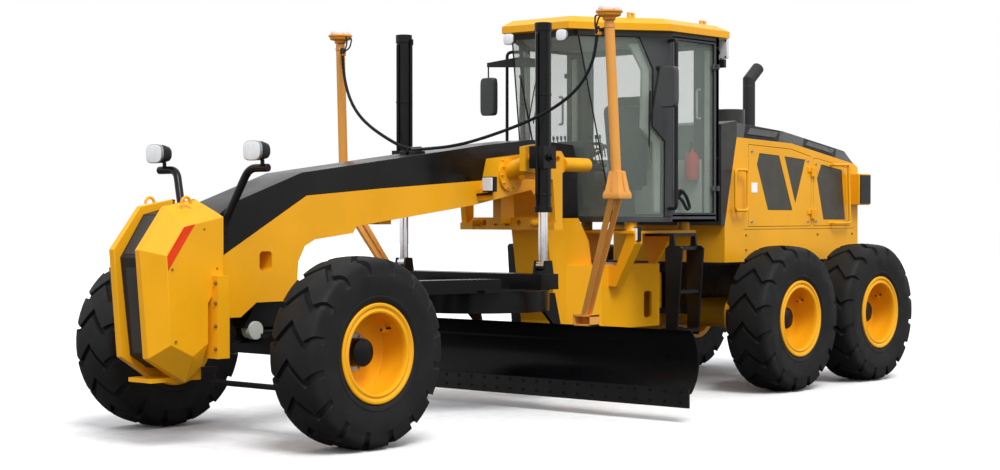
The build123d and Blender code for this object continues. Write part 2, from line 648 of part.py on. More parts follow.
def engine_block():
    front, rear = hood_front - 310, hood_rear + 750
    middle = (front + rear) / 2
    lug = block(middle - 75, middle + 75, rail_half - 80, rail_half - 40, 1040, 1100)
    return block(rear, front, 80 - rail_half, rail_half - 80, 1000, 1900) + lug + across(lug)


hood_top = [(hood_rear, 2120), (-7600, 2162), (-6409, 2334), (hood_front, 2364)]
hood_lean = [(hood_foot, 1537), (hood_foot, hood_bottom)]
front_door = [(-5640, 1520), (-6780, 1520), (-6780, 2215), (-6409, 2280), (-5640, 2305)]
rear_door = [(-6820, 1520), (-7560, 1520), (-7560, 2105), (-6900, 2200), (-6820, 2200)]
meshes = [
    [(-5833, 2225), (-6183, 2209), (-6429, 1678), (-5986, 1678), (-5788, 2117)],
    [(-6281, 2205), (-6671, 2180), (-6484, 1740)],
    [(-6973, 2140), (-7378, 2090), (-7444, 1583), (-7016, 1584), (-6890, 1997)],
]  # wire mesh windows in the doors


def engine_hood():
    body = side([(hood_rear, hood_bottom)] + hood_top + hood_lean, -hood_y, hood_y)
    w = hood_wall
    core = side([(hood_rear + w, hood_bottom + w)] + [(max(x - w * 0.5, hood_rear + w), z - w) for x, z in hood_top]
                + [(x - w, z) for x, z in hood_lean[:1]] + [(hood_foot - w, hood_bottom + w)], -hood_y + w, hood_y - w)
    shell = body - core
    shell -= block(-7000, -5600, -280, 280, hood_bottom - 1, hood_bottom + w + 1)
    for door in (front_door, rear_door):
        shell -= side(door, -hood_y - 1, hood_y + 1)
    for z in hood_hinges:
        for x, toward in ((front_door[1][0], 1), (rear_door[0][0], -1)):
            fixed = door_hinge(x, hood_y, z, toward)[0]
            shell += fixed + across(fixed)
    return shell - block(hood_rear - 1, hood_rear + w + 1, -500, 500, 1300, 1980)


def hood_door(points, hinge_x, toward):
    """Left: a panel inside its opening, with its hinges and the recesses of its mesh windows."""
    middle = sum(x for x, z in points) / len(points)
    inner = [(x - face_gap if x > middle else x + face_gap, z + face_gap if z < 1600 else z - face_gap) for x, z in points]
    door = side(inner, hood_y - hood_wall, hood_y)
    for window in meshes:
        if min(x for x, z in points) < window[0][0] < max(x for x, z in points):
            door -= side(window, hood_y - 14, hood_y + 1)
    for z in hood_hinges:
        door += door_hinge(hinge_x, hood_y, z, toward)[1]
    return door


def rear_door_rail():
    """Left."""
    rail_y, x0, x1 = hood_y + 65, -7150, -7430
    return pipe([(x0, hood_y - 5, 2138), (x0, rail_y, 2138), (x1 + 30, rail_y, 2142), (x1, rail_y, 1550), (x0, rail_y, 1548),
                 (x0, hood_y - 5, 1548)], 28, 24)


def hood_cap():
    """Dark top with leaning sides, its lid behind the cab, and the dark panel that closes the hood's front."""
    def ring(x, low, high, half):
        return Plane.YZ.offset(x) * outline([(-hood_y, low), (hood_y, low), (half, high), (-half, high)])
    runs = [ring(hood_front, 2364, 2520, 545), ring(-6409, 2334, 2458, 545), ring(-7600, 2162, 2292, 545),
            ring(hood_rear, 2120, 2205, 545)]
    cap = loft(runs[:2], ruled=True)
    for a, b in zip(runs[1:], runs[2:]):
        cap += loft([a, b], ruled=True)
    cap += side([hood_lean[0], (hood_front, 2364), (hood_front, 2520), (pillar_front, 2480), (pillar_front, 1537)],
                -hood_y, hood_y)
    return cap + rod((-6090, 120, 2400), (-6090, 120, 2668), 330)


def radiator_grille():
    return block(hood_rear + 5, hood_rear + hood_wall - 5, -500, 500, 1300, 1980)


def exhaust():
    """Upright pipe with a mitred end that leans to the rear."""
    x, d, bend, lean = -6650, 125, 3000, 52
    foot = 2433.3
    halves = Pos(x, 0, bend) * Rot(0, -lean / 2, 0) * Pos(0, 0, -400) * Box(800, 800, 800)
    tip = Pos(x, 0, bend) * Rot(0, -lean, 0) * Pos(0, 0, -200) * Cylinder(d / 2, 650, align=(Align.CENTER, Align.CENTER, Align.MIN))
    tip = tip & (Pos(x, 0, bend) * Rot(0, -lean, 0) * Pos(0, 0, -150) * Box(400, 400, 720))
    return (rod((x, 0, foot), (x, 0, bend + 200), d) & halves) + (tip - halves)


def handrails():
    """Rounded loops on the hood, ahead of its doors."""
    x0, x1, low, high, y = -5320, -5530, 1675, 2055, hood_y + 65
    middle = (x0 + x1) / 2
    loops = []
    for x in (x0, x1):
        loops.append(pipe([(middle, y, high), (x, y, high), (x, y, low), (middle, y, low)], 28, 35))
    for z in (low, high):
        loops.append(rod((middle, hood_y, z), (middle, y, z), 24))
    loop = loops[0] + loops[1:]
    return [loop, across(loop)]


def cab_rails():
    """Grab rails beside the doors, and the mirrors on their arms."""
    low, high, x = cab_floor + 130, cab_top - 110, door_front + 105
    grab = pipe([(x - 65, side_y - 50, low), (x, side_y + 120, low), (x, side_y + 120, high),
                 (x - 65, side_y - 50, high)], 30, 40) - cab_hull(0)
    arm = pipe([(-3810, 705, cab_top), (-3810, 705, cab_top - 160), (-3810, 1020, cab_top - 200),
                (-3810, 1020, cab_top - 390)], 28, 60)
    mirror = block(-3840, -3790, 935, 1115, cab_top - 720, cab_top - 360)
    return grab, across(grab), arm + mirror, across(arm + mirror)


def ladder():
    """Left."""
    plates = []
    top = cab_floor - 100
    for x in (door_front + 65, door_front - 260):
        plates.append(front([(830, 575), (945, 575), (1000, 1340), (980, 1360), (925, 1365), (912, top), (870, top), (862, 1365),
                             (820, 1340)], x - 20, x))
    steps = [block(door_front - 265, door_front + 50, 835, 960, z, z + 28) for z in (600, 945, 1325)]
    rungs = plates[0]
    for piece in plates[1:] + steps:
        rungs += piece
    return rungs + block(door_front - 280, door_front + 65, 600, 912, top - 25, top)


def rear_lamps():
    """Square lamp boxes on the hood's sides, behind the doors."""
    lamp = block(hood_rear - 60, -7575, hood_y, hood_y + 130, 1730, 2060)
    return lamp, across(lamp)


# ------------------------------------------------------------ the machine
write_wheels()
write("front_axle", front_axle())
for tag, place in (("left", lambda shape: shape), ("right", across)):
    write(f"lean_bracket_{tag}", place(lean_bracket()))
    write(f"knuckle_{tag}", place(knuckle()))
    write(f"lift_barrel_{tag}", place(lift_barrel()))
    write(f"lift_rod_{tag}", place(lift_rod()))
    write(f"mast_cable_{tag}", place(mast_cable()))
    frame_part, glass_part = cab_door()
    write(f"cab_door_{tag}", place(frame_part))
    write(f"cab_door_glass_{tag}", place(glass_part))
    write(f"hood_door_front_{tag}", place(hood_door(front_door, front_door[1][0], 1)))
    write(f"hood_door_rear_{tag}", place(hood_door(rear_door, rear_door[0][0], -1) + rear_door_rail()))
write("tie_rod", tie_rod())
write("front_frame", front_frame())
write("frame_cap", frame_cap())
write("counterweight", counterweight(), across(counterweight()))
write("nose_grille", nose_grille())
write("front_lamps", *front_lamps())
write("lift_arms", lift_arms())
write("drawbar", drawbar())
write("circle", circle())
write("blade_carriage", blade_carriage())
write("moldboard", moldboard())
write("cutting_edges", cutting_edges())
write("gnss_masts", gnss_masts(), across(gnss_masts()))
write("gnss_receivers", gnss_receivers(), across(gnss_receivers()))
write("cab_frame", cab_frame())
write("cab_glass", *cab_glass())
write("cab_roof", cab_roof())
write("cab_interior", *cab_interior())
write("cab_rails", *cab_rails())
write("ladders", ladder(), across(ladder()))
write("rear_frame", rear_frame())
write("tandem_cases", tandem_cases())
write("engine_block", engine_block())
write("engine_hood", engine_hood())
write("hood_cap", hood_cap())
write("radiator_grille", radiator_grille())
write("exhaust", exhaust())
write("handrails", *handrails())
write("rear_lamps", *rear_lamps())
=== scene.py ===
import json
import math

import bmesh
import bpy
from mathutils import Matrix, Vector


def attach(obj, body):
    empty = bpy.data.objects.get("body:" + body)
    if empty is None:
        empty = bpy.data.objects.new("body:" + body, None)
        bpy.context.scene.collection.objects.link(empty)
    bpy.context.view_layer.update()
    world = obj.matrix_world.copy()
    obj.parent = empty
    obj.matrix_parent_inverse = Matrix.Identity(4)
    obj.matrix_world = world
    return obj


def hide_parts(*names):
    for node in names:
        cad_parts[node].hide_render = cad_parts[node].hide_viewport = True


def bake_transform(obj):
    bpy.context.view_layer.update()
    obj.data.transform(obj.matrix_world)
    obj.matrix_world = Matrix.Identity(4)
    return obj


# Motor grader. Metres, +X forward, +Y to the machine's left, +Z up. Places are
# given from the front axle, as on a drawing, and here() moves them to the row frame,
# whose origin is on the ground under the middle of the machine.

MIDDLE = -3.29  # middle of the machine, from the front axle


def here(x, y, z):
    """A place from the front axle, in the row frame."""
    return Vector((x - MIDDLE, y, z))


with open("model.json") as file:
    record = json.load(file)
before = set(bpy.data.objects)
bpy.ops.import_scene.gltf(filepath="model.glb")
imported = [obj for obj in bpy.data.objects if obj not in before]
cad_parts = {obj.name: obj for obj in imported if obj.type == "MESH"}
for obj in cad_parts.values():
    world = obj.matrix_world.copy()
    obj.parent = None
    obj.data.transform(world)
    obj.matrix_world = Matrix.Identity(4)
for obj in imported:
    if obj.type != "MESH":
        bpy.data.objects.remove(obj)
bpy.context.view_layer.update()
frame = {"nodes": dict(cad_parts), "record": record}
nodes = frame["nodes"]

# ------------------------------------------------------------ camera
CAMERA_AT = (8.966, 10.135, 1.643)
CAMERA_YAW = math.radians(40.78)
CAMERA_DIP = math.radians(0.667)
CAMERA_LENS = 65.41
SENSOR = 36

camera_data = bpy.data.cameras.new("camera")
camera_data.lens = CAMERA_LENS
camera_data.sensor_width = SENSOR
camera = bpy.data.objects.new("camera", camera_data)
bpy.context.scene.collection.objects.link(camera)
camera.location = here(*CAMERA_AT)
level = math.cos(CAMERA_DIP)
look = Vector((-math.cos(CAMERA_YAW) * level, -math.sin(CAMERA_YAW) * level, -math.sin(CAMERA_DIP)))
camera.rotation_euler = look.to_track_quat("-Z", "Y").to_euler()
bpy.context.scene.camera = camera


# ------------------------------------------------------------ materials
def new_material(name):
    material = bpy.data.materials.new(name)
    material.use_nodes = True
    tree = material.node_tree
    return material, tree, tree.nodes["Principled BSDF"]


def add(tree, kind, **values):
    """A new node with its properties, or else its inputs, set by name."""
    node = tree.nodes.new(kind)
    for key, value in values.items():
        if hasattr(node, key):
            setattr(node, key, value)
        else:
            node.inputs[key.replace("_", " ").title()].default_value = value
    return node


def place(tree):
    return tree.nodes.new("ShaderNodeTexCoord").outputs["Object"]


def noise_of(tree, scale, detail, where=None):
    noise = add(tree, "ShaderNodeTexNoise", scale=scale, detail=detail)
    tree.links.new(where or place(tree), noise.inputs["Vector"])
    return noise.outputs["Fac"]


def two_tone(tree, value, positions, colours):
    """A ramp from one colour to another over the value between two positions."""
    ramp = tree.nodes.new("ShaderNodeValToRGB")
    for element, position, colour in zip(ramp.color_ramp.elements, positions, colours):
        element.position = position
        element.color = (*colour, 1)
    tree.links.new(value, ramp.inputs["Fac"])
    return ramp.outputs["Color"]


def mottle(tree, shader, colour, other, scale, low=0.4, high=0.65):
    """Slow change of colour over the surface between two close shades."""
    shown = two_tone(tree, noise_of(tree, scale, 5.0), (low, high), (colour, other))
    tree.links.new(shown, shader.inputs["Base Color"])
    return shown


def grain(tree, shader, scale, strength, distance, rounded=0.0):
    """Fine bump of the finish, and edges rounded a little where rounded is given."""
    bump = add(tree, "ShaderNodeBump", strength=strength, distance=distance)
    tree.links.new(noise_of(tree, scale, 3.0), bump.inputs["Height"])
    if rounded:
        edge = add(tree, "ShaderNodeBevel", samples=4, radius=rounded)
        tree.links.new(edge.outputs["Normal"], bump.inputs["Normal"])
    tree.links.new(bump.outputs["Normal"], shader.inputs["Normal"])


def sheen_patches(tree, shader, low, high, scale):
    """Roughness that drifts between two values, as on handled or dusty paint."""
    spread = add(tree, "ShaderNodeMapRange", from_min=0.3, from_max=0.7, to_min=low, to_max=high)
    tree.links.new(noise_of(tree, scale, 4.0), spread.inputs["Value"])
    tree.links.new(spread.outputs["Result"], shader.inputs["Roughness"])


def shade(colour, factor):
    return tuple(min(1.0, channel * factor) for channel in colour)


def paint(name, colour, rough=(0.28, 0.42), coat=0.1, vary=0.92, gloss=0.16):
    material, tree, shader = new_material(name)
    mottle(tree, shader, colour, shade(colour, vary), 1.7)
    sheen_patches(tree, shader, rough[0], rough[1], 3.0)
    grain(tree, shader, 260.0, 0.03, 0.001, 0.003)
    shader.inputs["Specular IOR Level"].default_value = gloss
    shader.inputs["Coat Weight"].default_value = coat
    shader.inputs["Coat Roughness"].default_value = 0.12
    return material


def rubber(name, colour):
    material, tree, shader = new_material(name)
    mottle(tree, shader, colour, shade(colour, 1.5), 6.0, 0.35, 0.75)
    sheen_patches(tree, shader, 0.5, 0.68, 9.0)
    grain(tree, shader, 420.0, 0.12, 0.001)
    shader.inputs["Specular IOR Level"].default_value = 0.16
    return material


def plastic(name, colour, rough=(0.5, 0.62), gloss=0.2):
    material, tree, shader = new_material(name)
    shader.inputs["Specular IOR Level"].default_value = gloss
    mottle(tree, shader, colour, shade(colour, 1.15), 4.0)
    sheen_patches(tree, shader, rough[0], rough[1], 12.0)
    grain(tree, shader, 900.0, 0.15, 0.0005, 0.003)
    return material


def steel(name, colour, rough, streak):
    """Metal with fine streaks along one axis."""
    material, tree, shader = new_material(name)
    shader.inputs["Metallic"].default_value = 1.0
    mottle(tree, shader, colour, shade(colour, 0.85), 5.0)
    stretch = tree.nodes.new("ShaderNodeMapping")
    stretch.inputs["Scale"].default_value = streak
    tree.links.new(place(tree), stretch.inputs["Vector"])
    spread = add(tree, "ShaderNodeMapRange", to_min=rough[0], to_max=rough[1])
    tree.links.new(noise_of(tree, 60.0, 4.0, stretch.outputs["Vector"]), spread.inputs["Value"])
    tree.links.new(spread.outputs["Result"], shader.inputs["Roughness"])
    return material


def clear_glass(name, tint, cover, gloss=0.3):
    """Thin pane: mostly see-through, with the tint and gloss of the glass on top."""
    material, tree, shader = new_material(name)
    mottle(tree, shader, tint, shade(tint, 0.94), 1.2)
    sheen_patches(tree, shader, 0.03, 0.07, 2.0)
    shader.inputs["Alpha"].default_value = cover
    shader.inputs["Specular IOR Level"].default_value = gloss
    return material


def wire_mesh(name, colour, dark, pitch):
    """Punched sheet: a grid of dark round holes in a painted plate."""
    material, tree, shader = new_material(name)
    spots = add(tree, "ShaderNodeTexVoronoi", scale=1.0 / pitch)
    spots.inputs["Randomness"].default_value = 0.0
    tree.links.new(place(tree), spots.inputs["Vector"])
    holes = two_tone(tree, spots.outputs["Distance"], (0.28, 0.36), (dark, colour))
    tree.links.new(holes, shader.inputs["Base Color"])
    bump = add(tree, "ShaderNodeBump", strength=0.8, distance=0.002)
    tree.links.new(holes, bump.inputs["Height"])
    tree.links.new(bump.outputs["Normal"], shader.inputs["Normal"])
    sheen_patches(tree, shader, 0.4, 0.55, 8.0)
    return material


def weave(name, colour, pitch):
    """Cloth: two crossed sets of threads in colour and bump."""
    material, tree, shader = new_material(name)
    mottle(tree, shader, colour, shade(colour, 1.5), 14.0)
    waves = []
    for direction in ("X", "Z"):
        wave = add(tree, "ShaderNodeTexWave", scale=0.5 / pitch, bands_direction=direction)
        tree.links.new(place(tree), wave.inputs["Vector"])
        waves.append(wave)
    both = add(tree, "ShaderNodeMath", operation="MULTIPLY")
    for index, wave in enumerate(waves):
        tree.links.new(wave.outputs["Fac"], both.inputs[index])
    bump = add(tree, "ShaderNodeBump", strength=0.35, distance=0.001)
    tree.links.new(both.outputs["Value"], bump.inputs["Height"])
    tree.links.new(bump.outputs["Normal"], shader.inputs["Normal"])
    shader.inputs["Roughness"].default_value = 0.85
    shader.inputs["Sheen Weight"].default_value = 0.3
    return material


YELLOW = (0.94, 0.43, 0.01)
ORANGE = (0.86, 0.34, 0.04)
BLACK = (0.0045, 0.0045, 0.005)
GREY = (0.055, 0.058, 0.06)

finish = {
    "machine_yellow": paint("yellow_paint", YELLOW),
    "mast_orange": paint("orange_paint", (0.84, 0.37, 0.075), (0.35, 0.5), 0.1),
    "receiver_orange": paint("receiver_paint", ORANGE, (0.35, 0.5), 0.1),
    "dark_frame": paint("black_paint", BLACK, (0.22, 0.35), 0.06, vary=1.5, gloss=0.2),
    "blade_black": paint("blade_paint", (0.0025, 0.0025, 0.003), (0.25, 0.4), 0.03, vary=1.4, gloss=0.1),
    "cab_grey": paint("cab_paint", GREY, (0.35, 0.5), 0.1, vary=1.12, gloss=0.25),
    "tyre_rubber": rubber("tyre_rubber", (0.0115, 0.0115, 0.0115)),
    "cable_rubber": rubber("cable_rubber", (0.008, 0.0085, 0.011)),
    "bare_steel": steel("edge_steel", (0.045, 0.045, 0.047), (0.35, 0.6), (1, 30, 30)),
    "bolt_steel": steel("bolt_steel", (0.45, 0.45, 0.46), (0.3, 0.5), (9, 9, 9)),
    "rod_chrome": steel("rod_chrome", (0.86, 0.86, 0.87), (0.06, 0.16), (1, 1, 20)),
    "steel_grey": paint("grey_paint", (0.032, 0.032, 0.034), (0.4, 0.55), 0.05),
    "dark_plastic": plastic("dark_plastic", (0.017, 0.0175, 0.019), (0.4, 0.5)),
    "cap_plastic": plastic("cap_plastic", (0.035, 0.035, 0.033), (0.35, 0.5), 0.3),
    "receiver_grey": plastic("receiver_grey", (0.7, 0.7, 0.68)),
    "lamp_plastic": plastic("lamp_plastic", (0.82, 0.83, 0.84), (0.1, 0.2)),
    "seat_cloth": weave("seat_cloth", (0.045, 0.047, 0.05), 0.006),
    "cab_glass": clear_glass("cab_glass", (0.34, 0.4, 0.35), 0.22),
    "front_glass": clear_glass("front_glass", (0.62, 0.72, 0.64), 0.14),
    "window_mesh": wire_mesh("window_mesh", (0.05, 0.046, 0.034), (0.004, 0.004, 0.004), 0.022),
    "panel_grey": paint("panel_grey", (0.045, 0.045, 0.046), (0.35, 0.5), 0.05),
    "nose_bolt": paint("nose_bolt", (0.3, 0.17, 0.03), (0.4, 0.5), 0.05),
    "stripe_red": paint("stripe_red", (0.88, 0.055, 0.008), (0.3, 0.4), 0.1),
    "bottle_red": paint("bottle_red", (0.62, 0.05, 0.045), (0.2, 0.3), 0.3),
    "plate_white": plastic("plate_white", (0.85, 0.85, 0.85), (0.3, 0.4)),
    "inside_trim": plastic("inside_trim", (0.46, 0.49, 0.44), (0.55, 0.7)),
}
LOOK_OF = {
    "cab_frame": "cab_grey", "cab_door_left": "cab_grey", "cab_door_right": "cab_grey",
    "hood_cap": "cap_plastic",
    "cab_roof": "machine_yellow", "moldboard": "blade_black",
}

slot_of = {entry["node"]: entry["material_slot"] for entry in frame["record"]["subparts"]}
for name, node in nodes.items():
    node.data.materials.clear()
    node.data.materials.append(finish[LOOK_OF.get(name, slot_of[name])])


# ------------------------------------------------------------ ways of making pieces
# A form is (points, faces), with points in metres from the front axle.
def box(x0, x1, y0, y1, z0, z1):
    points = [(x, y, z) for x in (x0, x1) for y in (y0, y1) for z in (z0, z1)]
    return points, [(0, 1, 3, 2), (4, 6, 7, 5), (0, 4, 5, 1), (2, 3, 7, 6), (0, 2, 6, 4), (1, 5, 7, 3)]


def slab(near, far):
    """A solid between two outlines with as many points each."""
    n = len(near)
    faces = [tuple(range(n)), tuple(range(2 * n - 1, n - 1, -1))]
    return near + far, faces + [(i, (i + 1) % n, n + (i + 1) % n, n + i) for i in range(n)]


def prism(outline, axis, a, b):
    """An outline drawn across the named axis and solid from a to b. Its points are the other two places."""
    def at(p, depth):
        return {"y": (p[0], depth, p[1]), "x": (depth, p[0], p[1]), "z": (p[0], p[1], depth)}[axis]
    return slab([at(p, a) for p in outline], [at(p, b) for p in outline])


def brick(low, high):
    """A solid between two four-cornered faces."""
    return low + high, [(3, 2, 1, 0), (4, 5, 6, 7), (0, 1, 5, 4), (1, 2, 6, 5), (2, 3, 7, 6), (3, 0, 4, 7)]


def loft(rings, sides):
    """Faces of a closed skin over rings of points, each with as many sides."""
    faces = []
    for ring in range(rings - 1):
        a, b = ring * sides, (ring + 1) * sides
        faces += [(a + k, a + (k + 1) % sides, b + (k + 1) % sides, b + k) for k in range(sides)]
    return faces + [tuple(range(sides - 1, -1, -1)), tuple(range((rings - 1) * sides, rings * sides))]


def looped(rings, sides):
    """Faces of a skin over rings that come round to the first again."""
    faces = []
    for ring in range(rings):
        a, b = ring * sides, ((ring + 1) % rings) * sides
        faces += [(a + k, a + (k + 1) % sides, b + (k + 1) % sides, b + k) for k in range(sides)]
    return faces


def frame_along(way):
    """Two directions square to a bar's own and to each other."""
    side = way.cross(Vector((0, 0, 1)))
    if side.length < 1e-3:
        side = way.cross(Vector((0, 1, 0)))
    side.normalize()
    return side, way.cross(side).normalized()


def tube(line, d, sides=16, widths=None, closed=False):
    """A round bar along a line of points; widths scales its diameter at each point."""
    line = [Vector(p) for p in line]
    points, side = [], None
    for index, p in enumerate(line):
        if closed:
            way = (line[(index + 1) % len(line)] - line[index - 1]).normalized()
        else:
            way = (line[min(index + 1, len(line) - 1)] - line[max(index - 1, 0)]).normalized()
        if side is None:
            side, up = frame_along(way)
        else:
            side = (side - way * side.dot(way)).normalized()
            up = way.cross(side).normalized()
        r = d / 2 * (widths[index] if widths else 1)
        for k in range(sides):
            turn = 2 * math.pi * k / sides
            points.append(tuple(p + side * (r * math.cos(turn)) + up * (r * math.sin(turn))))
    return points, (looped if closed else loft)(len(line), sides)


def rod(p, q, d, sides=24):
    return tube([p, q], d, sides)


def bent(corners, radius, steps=6):
    """Points of a bar's line with its corners rounded."""
    corners = [Vector(p) for p in corners]
    line = [corners[0]]
    for before, corner, after in zip(corners, corners[1:], corners[2:]):
        a, b = (before - corner), (after - corner)
        r = min(radius, a.length * 0.45, b.length * 0.45)
        start, end = corner + a.normalized() * r, corner + b.normalized() * r
        for step in range(steps + 1):
            t = step / steps
            line.append(start * (1 - t) ** 2 + corner * (2 * t * (1 - t)) + end * t ** 2)
    return line + [corners[-1]]


def lathe(profile, centre, axis, steps=48):
    """A closed profile of (radius, place along the axis) turned about an axis through centre."""
    points = []
    for step in range(steps):
        turn = 2 * math.pi * step / steps
        c, s = math.cos(turn), math.sin(turn)
        for r, a in profile:
            offset = {"y": (r * c, a, r * s), "x": (a, r * c, r * s), "z": (r * c, r * s, a)}[axis]
            points.append(tuple(centre[k] + offset[k] for k in range(3)))
    return points, looped(steps, len(profile))


def across(form):
    """The same form on the other side of the machine."""
    return [(x, -y, z) for x, y, z in form[0]], [tuple(reversed(face)) for face in form[1]]


def moved(form, x, y, z):
    return [(p[0] + x, p[1] + y, p[2] + z) for p in form[0]], form[1]


def bolt(x, y, z, axis, size, out=1):
    """A six-sided head with its washer, standing out along the axis."""
    def at(depth):
        shift = {"y": (0, depth * out, 0), "x": (depth * out, 0, 0), "z": (0, 0, depth * out)}[axis]
        return (x + shift[0], y + shift[1], z + shift[2])
    return [rod(at(-0.002), at(size * 0.18), size * 1.5, 14), rod(at(0), at(size * 0.75), size, 6)]


def piece(name, forms, look, body, replaces=(), bevel=0.0, smooth=32, subdivide=0):
    """One object from a list of forms, riding on a body."""
    points, faces = [], []
    for form in forms:
        first = len(points)
        points += [here(*p) for p in form[0]]
        faces += [tuple(first + k for k in face) for face in form[1]]
    mesh = bpy.data.meshes.new(name)
    mesh.from_pydata(points, [], faces)
    work = bmesh.new()
    work.from_mesh(mesh)
    bmesh.ops.recalc_face_normals(work, faces=work.faces)
    work.to_mesh(mesh)
    work.free()
    mesh.polygons.foreach_set("use_smooth", [True] * len(mesh.polygons))
    mesh.set_sharp_from_angle(angle=math.radians(smooth))
    mesh.materials.append(finish[look])
    item = bpy.data.objects.new(name, mesh)
    bpy.context.scene.collection.objects.link(item)
    if bevel:
        edge = item.modifiers.new("edges", "BEVEL")
        edge.width = bevel
        edge.segments = 2
        edge.limit_method = "ANGLE"
        edge.angle_limit = math.radians(35)
    if subdivide:
        more = item.modifiers.new("round", "SUBSURF")
        more.levels = more.render_levels = subdivide
    if body:
        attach(item, body)
    for node in replaces:
        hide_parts(node)
    return item


SIDES = (("left", 1), ("right", -1))


def side_of(form, sign):
    return form if sign > 0 else across(form)


def both(forms):
    """Forms of the left side, and the same on the right."""
    return forms + [across(form) for form in forms]


# ------------------------------------------------------------ cables from the masts to the beam
CABLE_D = 0.028
CABLE_ROUTE = [
    (-2.3, 1.42, 3.05), (-2.296, 1.408, 2.93), (-2.285, 1.372, 2.8), (-2.262, 1.3, 2.67),
    (-2.226, 1.195, 2.56), (-2.18, 1.06, 2.468), (-2.125, 0.9, 2.39), (-2.065, 0.725, 2.322),
    (-2.0, 0.545, 2.262), (-1.938, 0.38, 2.214), (-1.88, 0.235, 2.186), (-1.82, 0.12, 2.174),
    (-1.745, 0.06, 2.166),
]
CABLE_BODIES = ["blade", "carriage", "circle", "drawbar", "front"]
RIB_PITCH = 0.008


def spline_line(route):
    """Points of the smooth line that the route controls."""
    curve = bpy.data.curves.new("route", "CURVE")
    curve.dimensions = "3D"
    curve.resolution_u = 24
    spline = curve.splines.new("NURBS")
    spline.points.add(len(route) - 1)
    for point, p in zip(spline.points, route):
        point.co = (*p, 1)
    spline.order_u = 3
    spline.use_endpoint_u = True
    holder = bpy.data.objects.new("route", curve)
    bpy.context.scene.collection.objects.link(holder)
    bpy.context.view_layer.update()
    mesh = bpy.data.meshes.new_from_object(holder)
    line = [vertex.co.copy() for vertex in mesh.vertices]
    bpy.data.objects.remove(holder)
    bpy.data.meshes.remove(mesh)
    bpy.data.curves.remove(curve)
    return line


def even(line, step):
    """The same line with points at even steps."""
    total = sum((b - a).length for a, b in zip(line, line[1:]))
    count = max(2, round(total / step))
    places, walked, k = [line[0].copy()], 0.0, 0
    for index in range(1, count):
        goal = total * index / count
        while walked + (line[k + 1] - line[k]).length < goal:
            walked += (line[k + 1] - line[k]).length
            k += 1
        part = (goal - walked) / (line[k + 1] - line[k]).length
        places.append(line[k].lerp(line[k + 1], part))
    return places + [line[-1].copy()], total


for side, sign in SIDES:
    line, total = even(spline_line([(x, sign * y, z) for x, y, z in CABLE_ROUTE]), RIB_PITCH / 2)
    runs = len(CABLE_BODIES) - 1
    for run in range(runs):
        first, last = run * (len(line) - 1) // runs, (run + 1) * (len(line) - 1) // runs
        part = line[first:last + 1]
        widths = [1.0 if (first + k) % 2 else 0.84 for k in range(len(part))]
        widths[0] = widths[-1] = 0.84
        cable = piece(f"cable_{side}_{run + 1}", [tube(part, CABLE_D, 12, widths)], "cable_rubber", None,
                      [f"mast_cable_{side}"], smooth=60)
        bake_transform(cable)

# ------------------------------------------------------------ wheels
TYRE_HALF = 0.2225
PITCHES = 16
GROOVE_DEPTH = 0.03
# Radius, place along the axle, and how deep a groove is there, from the bore to the middle.
STATIONS = [
    (0.322, 0.188, 0), (0.354, 0.192, 0), (0.366, 0.203, 0), (0.38, 0.21, 0), (0.398, 0.2125, 0),
    (0.404, 0.21, 0),
    (0.44, 0.2145, 0), (0.5, 0.22, 0), (0.545, 0.221, 0.0), (0.56, 0.2175, 0.3), (0.592, 0.215, 0.75),
    (0.618, 0.212, 1), (0.634, 0.206, 1), (0.648, 0.193, 1), (0.659, 0.17, 1), (0.666, 0.138, 1),
    (0.6705, 0.09, 1), (0.6735, 0.045, 1), (0.6745, 0.0, 1),
]
# Each lug: its start, two places on it, its end, and the floor of the groove behind it.
COLUMNS = [(0.0, 0), (0.25, 0), (0.5, 0), (0.755, 0), (0.785, 1), (0.97, 1)]


def lag(y):
    """How far the lug's edge lags behind the middle of the tread, in pitches: a zigzag."""
    t = abs(y) / TYRE_HALF
    if t < 0.62:
        return 0.55 * t / 0.62
    return 0.55 - 0.2 * min(1.0, (t - 0.62) / 0.36)


def tyre_form(x, y, z):
    profile = STATIONS + [(r, -a, deep) for r, a, deep in reversed(STATIONS[:-1])]
    points = []
    for pitch in range(PITCHES):
        for column, low in COLUMNS:
            for r, a, deep in profile:
                turn = 2 * math.pi * (pitch + column - lag(a)) / PITCHES
                radius = r - low * deep * GROOVE_DEPTH
                inward = low * deep * 0.012 * (1 if a > 0 else -1) * (abs(a) > 0.19)
                points.append((x + radius * math.cos(turn), y + a - inward, z + radius * math.sin(turn)))
    return points, looped(PITCHES * len(COLUMNS), len(profile))


RIM = [
    (0.066, -0.069), (0.299, -0.069), (0.299, -0.206), (0.345, -0.2085), (0.3525, -0.203), (0.3525, -0.195),
    (0.319, -0.192), (0.319, 0.192), (0.3525, 0.195), (0.3525, 0.203), (0.346, 0.2085), (0.331, 0.2085),
    (0.322, 0.2), (0.313, 0.1965), (0.306, 0.201), (0.297, 0.205), (0.286, 0.2015), (0.28, 0.19),
    (0.281, 0.16),
    (0.292, 0.11), (0.294, -0.01), (0.286, -0.034), (0.262, -0.046), (0.14, -0.05), (0.066, -0.05),
]
HUB = [(0.0, -0.052), (0.1, -0.052), (0.1, 0.048), (0.096, 0.056), (0.08, 0.0595), (0.0, 0.0595)]
PAD = [(0.098, -0.052), (0.138, -0.052), (0.138, -0.04), (0.132, -0.034), (0.098, -0.034)]
TRACK_HALF, AXLE_Z = 1.09, 0.675
AXLES = {"front": 0.0, "mid": -5.54, "rear": -7.02}

